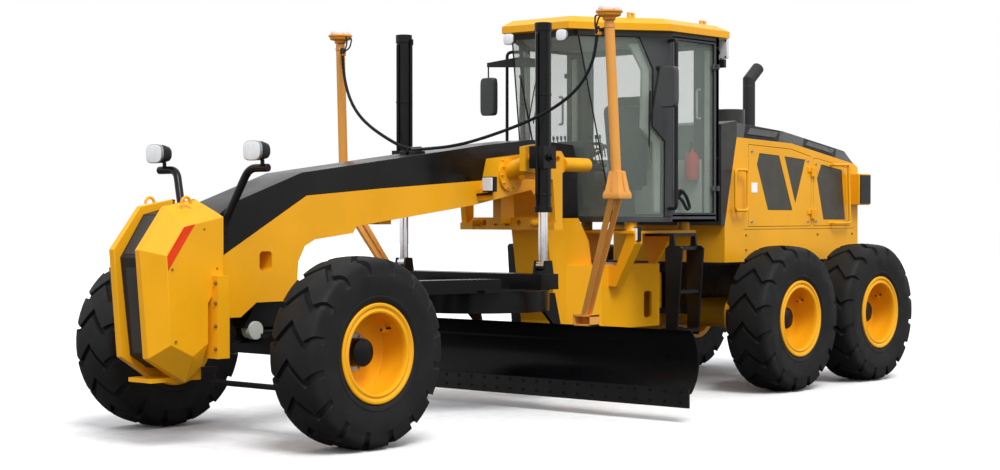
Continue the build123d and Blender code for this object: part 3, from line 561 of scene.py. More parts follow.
for axle, x in AXLES.items():
    for side, sign in SIDES:
        body, y = f"wheel_{axle}_{side}", sign * TRACK_HALF
        depth = y + sign * 0.055

        def turned(profile, steps):
            return lathe([(r, a * sign) for r, a in profile], (x, y, AXLE_Z), "y", steps)

        def at_rim(dx, out, dz):
            return (x + dx, depth + sign * out, AXLE_Z + dz)

        piece(f"tyre_{axle}_{side}_tread", [tyre_form(x, y, AXLE_Z)], "tyre_rubber", body,
              [f"tyre_{axle}_{side}"], smooth=28)
        holder = [rod(at_rim(-0.175, 0, 0.15), at_rim(-0.228, 0, 0.15), 0.044, 18),
                  box(x - 0.24, x - 0.205, depth - 0.014, depth + 0.014, AXLE_Z + 0.14, AXLE_Z + 0.172)]
        piece(f"rim_{axle}_{side}_dish", [turned(RIM, 72)] + holder, "machine_yellow", body,
              [f"rim_{axle}_{side}"], smooth=35)
        valve = [rod(at_rim(-0.205, 0.02, 0.16), at_rim(-0.262, 0.02, 0.16), 0.015, 10),
                 rod(at_rim(-0.172, 0, 0.15), at_rim(-0.176, 0, 0.15), 0.018, 10)]
        piece(f"tyre_valve_{axle}_{side}", valve, "dark_plastic", body)
        caps, nuts = [turned(HUB, 48)], [turned(PAD, 48)]
        for k in range(5):
            turn = 2 * math.pi * (k + 0.2) / 5
            caps += bolt(x + 0.084 * math.cos(turn), y + sign * 0.0593, AXLE_Z + 0.084 * math.sin(turn), "y",
                         0.008, sign)
        for k in range(8):
            turn = math.pi * (k + 0.5) / 4
            c, s = math.cos(turn), math.sin(turn)
            nuts += bolt(x + 0.119 * c, y - sign * 0.034, AXLE_Z + 0.119 * s, "y", 0.018, sign)
        piece(f"hub_{axle}_{side}", caps, "dark_frame", body)
        piece(f"wheel_nuts_{axle}_{side}", nuts, "bolt_steel", body)


# ------------------------------------------------------------ nose weight
BEAM_HALF = 0.2
# Corners of the left half. Those at y 0.116 are on its inner side, beside the panel.
NOSE = {
    "bi": (1.18, 0.116, 1.395), "bo": (1.18, 0.171, 1.395), "li": (1.115, 0.116, 0.645),
    "lo": (1.115, 0.171, 0.645),
    "ai": (0.95, 0.116, 1.694), "ao": (0.946, 0.158, 1.697), "ei": (0.668, 0.116, 1.745),
    "eo": (0.64, 0.11, 1.745),
    "c": (1.06, 0.312, 1.355), "k": (1.021, 0.308, 0.742), "d": (0.916, 0.318, 1.553),
    "f": (0.56, 0.318, 1.62),
    "g": (0.56, 0.318, 1.206), "h": (0.7, 0.318, 1.02), "i": (0.7, 0.318, 0.742),
    "j": (0.838, 0.314, 0.653),
    "mo": (0.815, 0.205, 0.465), "mi": (0.8, 0.116, 0.455), "n": (0.715, 0.26, 0.578),
    "ni": (0.7, 0.116, 0.56),
    "gi": (0.56, 0.23, 1.206), "hi": (0.668, 0.23, 1.02), "fi": (0.56, 0.23, 1.66),
    "ii": (0.668, 0.116, 0.742),
    "hj": (0.668, 0.116, 1.02),
}
NOSE_FACES = [
    "bi bo lo li", "ai ao bo bi", "ei eo ao ai", "bo c k lo", "ao d c bo", "eo f d ao", "c d f g h i j k",
    "lo k j mo",
    "li lo mo mi", "mo j n", "j i n", "mi mo n ni", "f fi gi g", "g gi hi h", "h hi hj ii i", "i ii ni n",
    "eo fi f",
    "ei ai bi li mi ni ii hj", "ei hj hi gi fi eo",
]
corner_names = list(NOSE)
nose_faces = [tuple(corner_names.index(corner) for corner in face.split()) for face in NOSE_FACES]
piece("nose_weight", both([(list(NOSE.values()), nose_faces)]), "machine_yellow", "front", ["counterweight"],
      bevel=0.004, smooth=12)

panel = [(0.668, 0.6), (0.9, 0.56), (1.045, 0.655), (1.128, 1.34), (0.925, 1.64), (0.668, 1.7)]
piece("nose_panel", [prism(panel, "y", -0.1155, 0.1155)], "dark_plastic", "front", ["nose_grille"],
      bevel=0.003)


def on_panel(x0, z0, x1, z1, half0, half1, out):
    """A flat inset on the panel's front, from one height to another."""
    low, high = ([(x0 + d, -half0, z0), (x0 + d, half0, z0), (x1 + d, half1, z1), (x1 + d, -half1, z1)]
                 for d in (0.0, out))
    return brick(low, high)


insets = [on_panel(1.047, 0.675, 1.119, 1.27, 0.074, 0.058, 0.004),
          on_panel(1.112, 1.364, 0.932, 1.63, 0.092, 0.098, 0.003)]
piece("nose_panel_insets", insets, "panel_grey", "front", bevel=0.002)

# The weight's side is flat up to FLAT_END and leans in from there.
SIDE_Y, FLAT_END, SIDE_LEAN = 0.318, 0.916, -0.006 / 0.144
stripe = [(0.818, 1.572), (0.917, 1.552), (1.058, 1.353), (1.05, 1.255)]
low = [(x, SIDE_Y + 0.0004 + SIDE_LEAN * max(0.0, x - FLAT_END), z) for x, z in stripe]
high = [(x, y + 0.002, z) for x, y, z in low]
piece("nose_stripes", both([brick(low, high)]), "stripe_red", "front")

forms = [rod((x, SIDE_Y - 0.0065, z), (x, SIDE_Y + 0.0015, z), 0.018, 14)
         for x, z in ((0.735, 1.535), (1.015, 1.262), (0.985, 0.766), (0.62, 1.26))]
for z in (0.7, 0.86, 1.02, 1.16):
    forms += bolt(0.667, 0.36, z, "x", 0.02)
piece("nose_bolts", both(forms), "nose_bolt", "front")

turns = [step * math.pi / 10 for step in range(11)]
ring = [(0.8 + 0.04 * math.cos(turn), 0.2, 1.715 + 0.045 * math.sin(turn)) for turn in turns]
piece("nose_lifting_eyes", both([tube(ring, 0.022, 12)]), "machine_yellow", "front")

# ------------------------------------------------------------ beam cap with the two lamp arms
CAP_LOW_EDGE = [(0.56, 1.295), (-0.349, 1.779), (-1.124, 1.839), (-2.57, 1.935), (-2.57, 2.115),
                (-3.29, 2.18),
                (-3.33, 1.605), (-3.61, 1.605)]
CAP_TOP_EDGE = [(-3.59, 2.09), (-3.535, 2.25), (-2.98, 2.275), (-2.33, 2.21), (-0.3, 1.95),
                (0.38, 1.72),
                (0.56, 1.6)]
LAMP_ARM_X, LAMP_ARM_Z = 0.395, 1.966
arm = bent([(0.48, BEAM_HALF + 0.03, 1.5), (0.47, BEAM_HALF + 0.035, 1.6),
            (LAMP_ARM_X, 0.4, LAMP_ARM_Z),
            (LAMP_ARM_X, 0.6, LAMP_ARM_Z)], 0.07)
before_plug, plug = Vector(CABLE_ROUTE[-2]), Vector(CABLE_ROUTE[-1])
forms = [
    tube(arm, 0.058, 18),
    rod((LAMP_ARM_X, 0.54, LAMP_ARM_Z), (LAMP_ARM_X, 0.54, 2.025), 0.03, 14),
    box(0.43, 0.53, BEAM_HALF, BEAM_HALF + 0.012, 1.44, 1.59),
    rod(plug, plug + (plug - before_plug).normalized() * 0.09, 0.046, 18),
    box(-1.76, -1.64, 0.015, 0.085, 2.11, 2.15),
]
cap = prism(CAP_LOW_EDGE + CAP_TOP_EDGE, "y", -BEAM_HALF, BEAM_HALF)
piece("beam_cap", [cap] + both(forms), "dark_frame", "front", ["frame_cap"], bevel=0.004)


# ------------------------------------------------------------ lamps
def pod(stations, y, z, power=3.2, sides=32):
    """A rounded body drawn along x: each station is (x, half width, half height)."""
    points = []
    for x, half, rise in stations:
        for k in range(sides):
            c, s = math.cos(2 * math.pi * k / sides), math.sin(2 * math.pi * k / sides)
            points.append((x, y + half * math.copysign(abs(c) ** (2 / power), c),
                           z + rise * math.copysign(abs(s) ** (2 / power), s)))
    return points, loft(len(stations), sides)


def lamp(x, y, z, deep, wide, high):
    """Rounded housing, bright bezel and ribbed lens of a lamp that looks forward."""
    def shell(*stations):
        return pod([(x + place_x, wide / 2 * w, high / 2 * h) for place_x, w, h in stations], y, z)
    housing = shell((-deep, 0.62, 0.6), (-deep * 0.85, 0.8, 0.8), (-deep * 0.5, 0.95, 0.96),
                    (-0.018, 0.985, 0.985))
    bezel = shell((-0.02, 1, 1), (-0.004, 1, 1), (-0.001, 0.95, 0.94))
    lens = [shell((-0.01, 0.93, 0.92), (0.001, 0.93, 0.92), (0.003, 0.84, 0.82))]
    for rib_y in (y - wide * 0.15, y + wide * 0.15):
        lens.append(box(x, x + 0.0045, rib_y - 0.003, rib_y + 0.003, z - high * 0.36, z + high * 0.36))
    return [housing], [bezel], lens


LAMPS = {"head": (0.497, 0.54, 2.085, 0.125, 0.186, 0.14),
         "roof": (-3.241, 0.3, 3.185, 0.058, 0.118, 0.1)}
for tag, measures in LAMPS.items():
    housing, bezel, lens = lamp(*measures)
    piece(f"{tag}_lamp_housings", both(housing), "dark_plastic", "front", ["front_lamps"])
    piece(f"{tag}_lamp_bezels", both(bezel), "bolt_steel", "front", ["front_lamps"])
    piece(f"{tag}_lamp_lenses", both(lens), "lamp_plastic", "front", ["front_lamps"])

# work lamps: one on each side of the beam, and one under each front corner of the cab
housing, lens = [], []
for x, y, z in ((-2.25, 0.345, 1.885), (-3.89, 0.6, 1.462)):
    housing.append(box(x - 0.03, x + 0.018, y - 0.06, y + 0.06, z - 0.062, z + 0.062))
    lens.append(box(x + 0.016, x + 0.03, y - 0.052, y + 0.052, z - 0.054, z + 0.054))
housing += [
    rod((-2.265, 0.19, 1.8), (-2.265, 0.345, 1.81), 0.022),
    rod((-2.265, 0.345, 1.8), (-2.265, 0.345, 1.83), 0.028),
    rod((-3.905, 0.585, 1.49), (-3.905, 0.585, 1.5), 0.03),
]
piece("work_lamp_housings", both(housing), "dark_plastic", "front", bevel=0.006)
piece("work_lamp_lenses", both(lens), "lamp_plastic", "front", bevel=0.004)

# ------------------------------------------------------------ saddle, lift cylinders and front axle
SADDLE_X, SADDLE_Z = -2.49, 1.965
forms = [
    box(-1.345, -1.205, 0.045, 0.105, 1.56, 1.622),
    rod((-2.875, 0.33, 1.565), (-2.8, 0.33, 1.565), 0.058),
    rod((-2.8, 0.33, 1.565), (-2.785, 0.33, 1.565), 0.04),
]
for x in (-2.415, -2.49, -2.56):
    forms += bolt(x, 0.35, 2.085 + (x + 2.415) * 0.11, "y", 0.024)
for k in range(10):
    turn = 2 * math.pi * k / 10
    forms += bolt(SADDLE_X + 0.112 * math.cos(turn), 0.372, SADDLE_Z + 0.112 * math.sin(turn), "y", 0.018)
piece("saddle_bolts_and_pins", both(forms), "machine_yellow", "front", bevel=0.001)

LIFT_X, LIFT_Y = -2.415, 0.78
forms = [rod((LIFT_X, LIFT_Y, low), (LIFT_X, LIFT_Y, high), d, 32)
         for low, high,
         d in ((1.655, 1.7, 0.15), (1.79, 1.805, 0.14), (3.12, 3.188, 0.142), (2.6, 2.615, 0.14))]
pipe = bent([(-2.36, LIFT_Y, 3.105), (-2.335, LIFT_Y, 3.1), (-2.335, LIFT_Y, 2.2),
             (-2.325, LIFT_Y + 0.005, 1.8),
             (-2.362, LIFT_Y, 1.7)], 0.03)
forms.append(tube(pipe, 0.022, 12))
forms += bolt(LIFT_X, 0.85, 2.1, "y", 0.05)
piece("cylinder_bands_and_pipes", both(forms), "dark_frame", "front", bevel=0.002)

lean_cylinder = [rod((0.125, a, 0.795), (0.125, b, 0.795), d, 28) for a, b,
                 d in ((-0.2, 0.16, 0.115), (0.12, 0.17, 0.135))]
piece("lean_cylinder", lean_cylinder, "inside_trim", "front", bevel=0.003)

# ------------------------------------------------------------ blade
forms = []
for k in range(27):
    y = -1.9 + k * 3.8 / 26
    forms += [rod((-2.744, y, z), (-2.737, y, z), 0.026, 12) for z in (0.245, 0.165)]
piece("blade_bolts", forms, "dark_frame", "blade")

# ------------------------------------------------------------ masts and receivers
FOOT = Vector((-2.725, 0.98, 0.775))
NECK = Vector((-2.42, 1.515, 1.775))
NECK_BASE = NECK + Vector((0, 0.012, -0.005))
RECEIVER_X, RECEIVER_Y = -2.35, 1.5
# Plates of the foot, as x, y and z from its middle.
FOOT_PLATES = [
    (-0.06, 0.06, -0.09, 0.09, 0.03, 0.045), (-0.06, 0.06, -0.09, 0.09, -0.045, -0.03),
    (-0.06, 0.06, -0.09, -0.078, -0.045, 0.045), (-0.06, 0.06, 0.078, 0.09, -0.045, 0.045),
    (-0.058, -0.04, -0.08, 0.08, -0.035, 0.035),
]
# Half width and height of the neck.
NECK_LEVELS = [(0.078, -0.01), (0.082, 0.004), (0.08, 0.036), (0.068, 0.06), (0.047, 0.2),
               (0.044, 0.21)]
forms = [moved(box(*plate), *FOOT) for plate in FOOT_PLATES]
for dx in (-0.05, 0.05):
    bar = [FOOT + Vector((dx * 0.6, 0, 0.03)), NECK + Vector((dx, 0, 0.01))]
    forms.append(tube(bar, 0.04 * math.sqrt(2), 4))
corners = [tuple(NECK_BASE + Vector((a * half, b * half, rise)))
           for half, rise in NECK_LEVELS for a, b in ((-1, -1), (1, -1), (1, 1), (-1, 1))]
forms.append((corners, loft(len(NECK_LEVELS), 4)))
for a, b in ((1, 0), (-1, 0), (0, 1), (0, -1)):
    rib = [tuple(NECK_BASE + Vector((a * reach + b * half, b * reach + a * half, rise)))
           for reach, half,
           rise in ((0.07, 0.005, 0.048), (0.07, -0.005, 0.048), (0.046, -0.005, 0.198),
                    (0.046, 0.005, 0.198))]
    forms.append(brick(rib, [(x + a * 0.01, y + b * 0.01, z) for x, y, z in rib]))
low, top = NECK_BASE + Vector((0.008, -0.004, 0.19)), Vector((RECEIVER_X, RECEIVER_Y, 3.15))
band = low.lerp(top, 0.955)
forms += [tube([low, top], 0.08, 32), tube([band, band + (top - low).normalized() * 0.022], 0.088, 32)]
piece("mast_frames", both(forms), "mast_orange", "blade", ["gnss_masts"], bevel=0.002)

gland = Vector(CABLE_ROUTE[0])
way = (gland - Vector(CABLE_ROUTE[1])).normalized()
forms = [
    tube([gland + way * reach for reach in (0, 0.012, 0.014, 0.046, 0.048, 0.06)], 0.046, 20,
         [0.8, 0.86, 1, 1, 0.7, 0.66]),
    rod((RECEIVER_X, 1.47, 3.092), (-2.304, 1.424, 3.076), 0.03, 14),
]
for leads in ([(-2.385, 1.432, 3.205), (-2.375, 1.38, 3.195), (-2.345, 1.375, 3.11),
               (-2.305, 1.405, 3.075)],
              [(-2.34, 1.428, 3.205), (-2.32, 1.385, 3.2), (-2.318, 1.385, 3.13),
               (-2.3, 1.412, 3.062)]):
    forms.append(tube(bent(leads, 0.03), 0.014, 10))
for k in range(6):
    turn = k * math.pi / 3
    forms += bolt(RECEIVER_X + 0.097 * math.cos(turn), RECEIVER_Y + 0.097 * math.sin(turn), 3.23, "z", 0.008)
piece("mast_glands", both(forms), "dark_plastic", "blade", ["gnss_masts"])

HEAD_PROFILE = [(0.0, 0.0015), (0.044, 0.0015), (0.05, 0.006), (0.052, 0.026), (0.086, 0.034),
                (0.092, 0.04),
                (0.096, 0.06), (0.1065, 0.064), (0.107, 0.07), (0.103, 0.078), (0.0, 0.078)]
DOME_PROFILE = [(0.0, 0.072), (0.088, 0.074), (0.09, 0.09), (0.084, 0.106), (0.07, 0.122), (0.048, 0.133),
                (0.022, 0.138), (0.0, 0.139)]
head, dome = (lathe(profile, (RECEIVER_X, RECEIVER_Y, 3.153), "z",
                    40) for profile in (HEAD_PROFILE, DOME_PROFILE))
piece("receiver_housings", both([head]), "receiver_orange", "blade", ["gnss_receivers"])
clamp = box(-2.33, -2.286, 1.404, 1.444, 3.04, 3.092)
piece("cable_clamps", both([clamp]), "receiver_orange", "blade", ["gnss_masts"],
      bevel=0.006)
piece("receiver_domes", both([dome]), "receiver_grey", "blade", ["gnss_receivers"], smooth=50)


# ------------------------------------------------------------ cab
FLOOR, TOP = 1.57, 3.24
SILL, HEAD = 1.622, 3.188
REAR, CORNER, DOOR_REAR, WALL_Y = -4.845, -4.115, -4.8, 0.85


def screen_x(z):
    return -3.725 + 0.20958 * (z - FLOOR)


def half_at(z):
    """Half the windscreen's width."""
    return 0.505 - 0.0796 * (z - FLOOR)


def wall_y(x, z):
    """The side wall: flat beside the door, then drawn in to the windscreen."""
    front, half = screen_x(z), half_at(z)
    return min(WALL_Y, half + (front - x) / (front + 4.1) * (WALL_Y - half))


def on_walls(outline, out=0.0, thick=0.045):
    """Flat forms lying in the cab's two side walls, out metres off them."""
    forms = []
    for sign in (1, -1):
        outside = [(x, sign * (wall_y(x, z) + out), z) for x, z in outline]
        forms.append(slab(outside, [(x, y - sign * thick, z) for x, y, z in outside]))
    return forms


def on_screen(rows, out=0.0, thick=0.045, inset=0.0):
    """A flat form across the windscreen, between two places given as (height whose width counts, height)."""
    (low_z, low), (high_z, high) = rows
    outline = [(-half_at(low_z) + inset, low), (half_at(low_z) - inset, low),
               (half_at(high_z) - inset, high), (-half_at(high_z) + inset, high)]
    outside = [(screen_x(z) + out, y, z) for y, z in outline]
    return slab(outside, [(x - thick, y, z) for x, y, z in outside])


# The pillar between door and front pane, from the sill up, along its front edge.
PILLAR_EDGE = [(-4.052, 2.28), (-3.96, 2.41), (-3.96, 2.91)]
walls = [
    [(CORNER, FLOOR), (screen_x(FLOOR), FLOOR), (screen_x(SILL), SILL), (CORNER, SILL)],
    [(CORNER, HEAD), (screen_x(HEAD), HEAD), (screen_x(TOP), TOP), (CORNER, TOP)],
    [(CORNER, SILL), (-4.052, SILL), *PILLAR_EDGE, (-3.85, HEAD), (CORNER, HEAD)],
    [(DOOR_REAR, FLOOR), (CORNER, FLOOR), (CORNER, 1.64), (DOOR_REAR, 1.64)],
    [(DOOR_REAR, 3.19), (CORNER, 3.19), (CORNER, TOP), (DOOR_REAR, TOP)],
    [(REAR, FLOOR), (DOOR_REAR, FLOOR), (DOOR_REAR, TOP), (REAR, TOP)],
]
forms = [form for outline in walls for form in on_walls(outline)]
forms += [on_screen([(FLOOR, FLOOR), (SILL, SILL)]), on_screen([(HEAD, HEAD), (TOP, TOP)])]
for y0, y1, z0, z1 in ((-WALL_Y, WALL_Y, FLOOR, 2.15), (-WALL_Y, WALL_Y, 3.15, TOP),
                       (-WALL_Y, -0.6, 2.15, 3.15),
                       (0.6, WALL_Y, 2.15, 3.15)):
    forms.append(box(REAR, REAR + 0.045, y0, y1, z0, z1))
front = screen_x(FLOOR)
deck = [(REAR, -WALL_Y), (-4.1, -WALL_Y), (front, -0.505), (front, 0.505), (-4.1, WALL_Y), (REAR, WALL_Y)]
forms.append(prism(deck, "z", FLOOR, FLOOR + 0.03))
piece("cab_shell", forms, "cab_grey", "front", ["cab_frame"], bevel=0.003)

trim = [(-4.11, 1.66), (-4.02, 1.66), (-4.01, 2.26), (-3.915, 2.4), (-3.915, 2.9), (-3.81, 3.13),
        (-4.11, 3.13)]
ceiling = [(-4.798, -0.79), (-4.12, -0.79), (-3.5, -0.36), (-3.5, 0.36), (-4.12, 0.79),
           (-4.798, 0.79)]
liners = on_walls(trim, -0.048, 0.025) + both([box(REAR + 0.046, -4.77, 0.74, 0.8, 1.64, 3.13)])
liners += [box(REAR + 0.048, REAR + 0.075, -0.7, 0.7, 1.64, 2.14), prism(ceiling, "z", 3.196, 3.215)]
piece("cab_liners", liners, "inside_trim", "front", ["cab_frame"], bevel=0.003)

edge = [(-3.4, HEAD), (-3.85, HEAD), *reversed(PILLAR_EDGE), (-4.054, SILL)]
joint = [(screen_x(z) - 0.001, half_at(z) - 0.001, z) for z in (SILL, HEAD)]
back_edge = [(REAR - 0.001, y, z) for y, z in ((-0.6, 2.15), (0.6, 2.15), (0.6, 3.15), (-0.6, 3.15))]
seals = both([tube([(x, wall_y(x, z) + 0.001, z) for x, z in edge], 0.01, 8), rod(*joint, 0.013, 10)])
piece("cab_window_seals", seals + [tube(back_edge, 0.018, 8, closed=True)], "cable_rubber", "front")

screen = on_screen([(SILL, SILL - 0.01), (HEAD, HEAD + 0.01)], -0.006, 0.006, inset=0.003)
back = box(REAR + 0.018, REAR + 0.026, -0.605, 0.605, 2.145, 3.155)
piece("cab_screens", [screen, back], "front_glass", "front", ["cab_glass"])
pane = [(-4.058, SILL - 0.01), (screen_x(SILL) - 0.004, SILL - 0.01), (screen_x(HEAD) - 0.004, HEAD + 0.01),
                (-3.845, HEAD + 0.01), (-3.955, 2.91), (-3.955, 2.41), (-4.047, 2.28)]
piece("cab_side_panes", on_walls(pane, -0.006, 0.006), "cab_glass", "front", ["cab_glass"])

for side, sign in SIDES:
    edge = [(x, 0.847, z) for x, z in ((-4.765, 1.65), (-4.15, 1.65), (-4.15, 3.175), (-4.765, 3.175))]
    handle = bent([(-4.185, 0.855, 1.84), (-4.19, 0.905, 1.85), (-4.245, 0.915, 1.79),
                   (-4.3, 0.91, 1.7),
                   (-4.27, 0.9, 1.68), (-4.215, 0.89, 1.76), (-4.185, 0.86, 1.8)], 0.03)
    pull = bent([(-4.6, 0.815, 2.5), (-4.6, 0.775, 2.5), (-4.6, 0.775, 2.76), (-4.6, 0.815, 2.76)],
                0.04)
    forms = [tube(edge, 0.012, 8, closed=True), tube(handle, 0.03, 12),
             rod((-4.19, 0.83, 1.83), (-4.19, 0.885, 1.83), 0.06, 20)]
    piece(f"door_trim_{side}", [side_of(form, sign) for form in forms], "dark_plastic", f"cab_door_{side}")
    piece(f"door_pull_{side}", [side_of(tube(pull, 0.022, 10), sign)], "inside_trim", f"cab_door_{side}")


def before_screen(z, y, out):
    return (screen_x(z) + out, y, z)


def off_wall(x, z, out):
    return Vector((x, wall_y(x, z) + out, z))


wipers = []
for y, tip_y in ((-0.02, -0.3), (0.04, -0.24)):
    pivot = before_screen(3.13, y, 0.022)
    wipers += [rod(pivot, before_screen(2.45, tip_y, 0.022), 0.011, 10),
               rod((pivot[0] - 0.03, y, 3.13), (pivot[0] + 0.006, y, 3.13), 0.04, 16)]
wipers.append(rod(before_screen(2.86, -0.325, 0.012), before_screen(2.04, -0.27, 0.012), 0.016, 8))
base, tip = off_wall(-4.0, 2.92, 0.012), off_wall(-3.935, 2.48, 0.022)
wipers += both([
    rod(base, tip, 0.014, 10),
    rod(base - Vector((0, 0.02, 0)), base + Vector((0, 0.006, 0)), 0.04, 14),
    rod(off_wall(-3.935, 2.72, 0.01), off_wall(-3.935, 2.24, 0.01), 0.014, 8),
])
piece("cab_wipers", wipers, "dark_plastic", "front")

# grab rails and mirrors: a flat arm holds the right mirror, two clamps on the rail the left one
MIRROR_Y = 1.028
rail = bent([(-4.085, 0.838, 1.69), (-4.01, 0.97, 1.69), (-4.01, 0.97, 3.16), (-4.085, 0.838, 3.16)],
            0.05)
rails = both([tube(rail, 0.03, 16)])
rails += [rod((-4.01, 0.97, z), (-3.8, MIRROR_Y, z), 0.022, 12) for z in (2.64, 2.83)]
rails.append(prism([(-0.47, 3.06), (-0.47, 2.98), (-1.035, 3.01), (-1.035, 3.05), (-0.64, 3.085)], "x",
                   -3.824, -3.796))
rails.append(rod((-3.81, -MIRROR_Y, 3.03), (-3.81, -MIRROR_Y, 2.88), 0.014, 12))
piece("grab_rails_and_arms", rails, "dark_plastic", "front", ["cab_rails"], bevel=0.002)
mirror = pod([(-3.85, 0.08, 0.17), (-3.838, 0.0875, 0.1765), (-3.802, 0.0885, 0.1775),
              (-3.786, 0.08, 0.17)],
             MIRROR_Y, 2.735, power=7.0)
piece("mirror_housings", both([mirror]), "cab_grey", "front", ["cab_rails"])
glass = box(-3.853, -3.848, MIRROR_Y - 0.072, MIRROR_Y + 0.072, 2.573, 2.897)
piece("mirror_glasses", both([glass]), "rod_chrome", "front", ["cab_rails"])

# boxes under the rear corners of the roof
BOX_Y = 0.835
forms = [
    box(-4.925, -4.885, BOX_Y - 0.04, BOX_Y + 0.04, 2.975, 3.05),
    rod((-4.9, BOX_Y, 3.04), (-4.9, BOX_Y, 3.06), 0.02),
    box(-4.91, -4.84, 0.78, 0.82, 3.1, 3.13),
]
for y, z in ((-0.045, 3.07), (0.045, 3.07), (-0.045, 3.22), (0.045, 3.22)):
    forms += bolt(-4.905, BOX_Y + y, z, "x", 0.014)
corner_box = box(-4.938, -4.905, BOX_Y - 0.06, BOX_Y + 0.06, 3.056, 3.236)
piece("roof_corner_boxes", both([corner_box]), "receiver_grey", "front", bevel=0.006)
piece("roof_corner_lamps", both(forms), "dark_plastic", "front", bevel=0.004)


# ------------------------------------------------------------ seat and controls
def cushion(name, x, y, z, size, lean):
    """A crowned pad with drawn-in sides, from a coarse cage that is subdivided."""
    steps = 6
    points, faces, index = [], [], {}

    def cage_point(u, v, w):
        crown = 1 - 0.1 * (abs(u) ** 3 + abs(v) ** 3) if w > 0 else 1
        pinch = 1 - 0.05 * (1 - abs(v)) * abs(u)
        taper = 1 - 0.04 * abs(w)
        return (u * size[0] / 2 * taper * pinch, v * size[1] / 2 * taper, w * size[2] / 2 * crown)

    for i in range(steps + 1):
        for j in range(steps + 1):
            for k in range(3):
                if i in (0, steps) or j in (0, steps) or k in (0, 2):
                    index[i, j, k] = len(points)
                    points.append(cage_point(2 * i / steps - 1, 2 * j / steps - 1, k - 1))
    for i in range(steps):
        for j in range(steps):
            faces += [(index[i, j, 0], index[i, j + 1, 0], index[i + 1, j + 1, 0], index[i + 1, j, 0]),
                      (index[i, j, 2], index[i + 1, j, 2], index[i + 1, j + 1, 2], index[i, j + 1, 2])]
        for k in range(2):
            for j in (0, steps):
                faces += [(index[i, j, k], index[i + 1, j, k], index[i + 1, j, k + 1], index[i, j, k + 1]),
                          (index[j, i, k], index[j, i + 1, k], index[j, i + 1, k + 1], index[j, i, k + 1])]
    turn = Matrix.Rotation(math.radians(lean), 3, "Y")
    points = [tuple(turn @ Vector(p) + Vector((x, y, z))) for p in points]
    pad = piece(name, [(points, faces)], "seat_cloth", "front", ["cab_interior"], smooth=80, subdivide=2)


cushion("seat_cushion", -4.335, 0.0, 1.955, (0.5, 0.49, 0.125), -4)
cushion("seat_back", -4.59, 0.0, 2.34, (0.64, 0.46, 0.105), -82)
cushion("seat_headrest", -4.64, 0.0, 2.66, (0.15, 0.26, 0.085), -82)

CONTROL_X, WHEEL_Z, WHEEL_R, WHEEL_LEAN = -3.93, 2.2, 0.19, 0.436
armrest = [(-4.56, 1.9), (-4.15, 1.9), (-4.06, 2.12), (-4.13, 2.16), (-4.42, 2.15), (-4.56, 2.05)]
forms = [
    prism([(-4.5, 1.6), (-4.2, 1.6), (-4.23, 1.86), (-4.47, 1.86)], "y", -0.17, 0.17),
    box(-4.55, -4.12, -0.2, 0.2, 1.86, 1.9),
    prism(armrest, "y", 0.21, 0.25),
    prism(armrest, "y", -0.29, -0.25),
    prism([(-3.955, 1.6), (-3.79, 1.6), (-3.855, 2.145), (-3.955, 2.145)], "y", -0.065, 0.065),
    prism([(-3.8, 2.15), (-3.73, 2.23), (-3.745, 2.29), (-3.9, 2.25), (-3.93, 2.18)], "y", -0.15,
          0.15),
    prism([(-3.955, 1.7), (-3.8, 1.7), (-3.85, 2.06), (-3.955, 2.06)], "y", -0.105, 0.105),
    rod((-3.905, 0, 2.12), (-3.932, 0, WHEEL_Z), 0.05),
]
wheel = []
for k in range(40):
    turn = 2 * math.pi * k / 40
    reach = WHEEL_R * math.cos(turn)
    wheel.append((CONTROL_X + reach * math.cos(WHEEL_LEAN), WHEEL_R * math.sin(turn),
                  WHEEL_Z - reach * math.sin(WHEEL_LEAN)))
forms.append(tube(wheel, 0.03, 12, closed=True))
forms += [rod((CONTROL_X, 0, WHEEL_Z), wheel[k], 0.02, 10) for k in (0, 13, 27)]
levers = [box(-3.9, -3.8, 0.105, 0.295, 2.06, 2.09)]
for k in range(4):
    y = 0.13 + k * 0.045
    lever = bent([(-3.85, y, 2.085), (-3.81, y, 2.18), (-3.85, y, 2.23), (-3.835, y, 2.31)], 0.04)
    levers += [tube(lever, 0.012, 8), rod(lever[-1], lever[-1] + Vector((0.003, 0, 0.035)), 0.022, 10)]
forms += both(levers)
for y in (0.215, -0.255):
    for k in range(3):
        x = -4.02 + k * 0.04
        forms += [rod((x, y, 2.15), (x + 0.02, y, 2.24), 0.012, 8),
                  rod((x + 0.02, y, 2.23), (x + 0.024, y, 2.265), 0.026, 12)]
piece("cab_controls", forms, "dark_plastic", "front", ["cab_interior"], bevel=0.004)

BOTTLE_X, BOTTLE_Y = -4.715, 0.64
bottle = [(0.0, 0.0), (0.062, 0.0), (0.066, 0.01), (0.066, 0.205), (0.056, 0.235), (0.022, 0.262),
          (0.02, 0.285), (0.0, 0.285)]
piece("cab_extinguisher", [lathe(bottle, (BOTTLE_X, BOTTLE_Y, 1.95), "z", 28)], "bottle_red", "front")
nozzle = bent([(BOTTLE_X, BOTTLE_Y, 2.235), (BOTTLE_X, BOTTLE_Y, 2.28), (-4.66, 0.66, 2.29),
               (-4.64, 0.67, 2.2)], 0.02)
bracket = rod((-4.78, BOTTLE_Y, 2.0), (BOTTLE_X, BOTTLE_Y, 2.0), 0.03, 10)
piece("cab_extinguisher_head", [tube(nozzle, 0.018, 10), bracket], "dark_plastic", "front")

# ------------------------------------------------------------ hood
HOOD_Y = 0.65
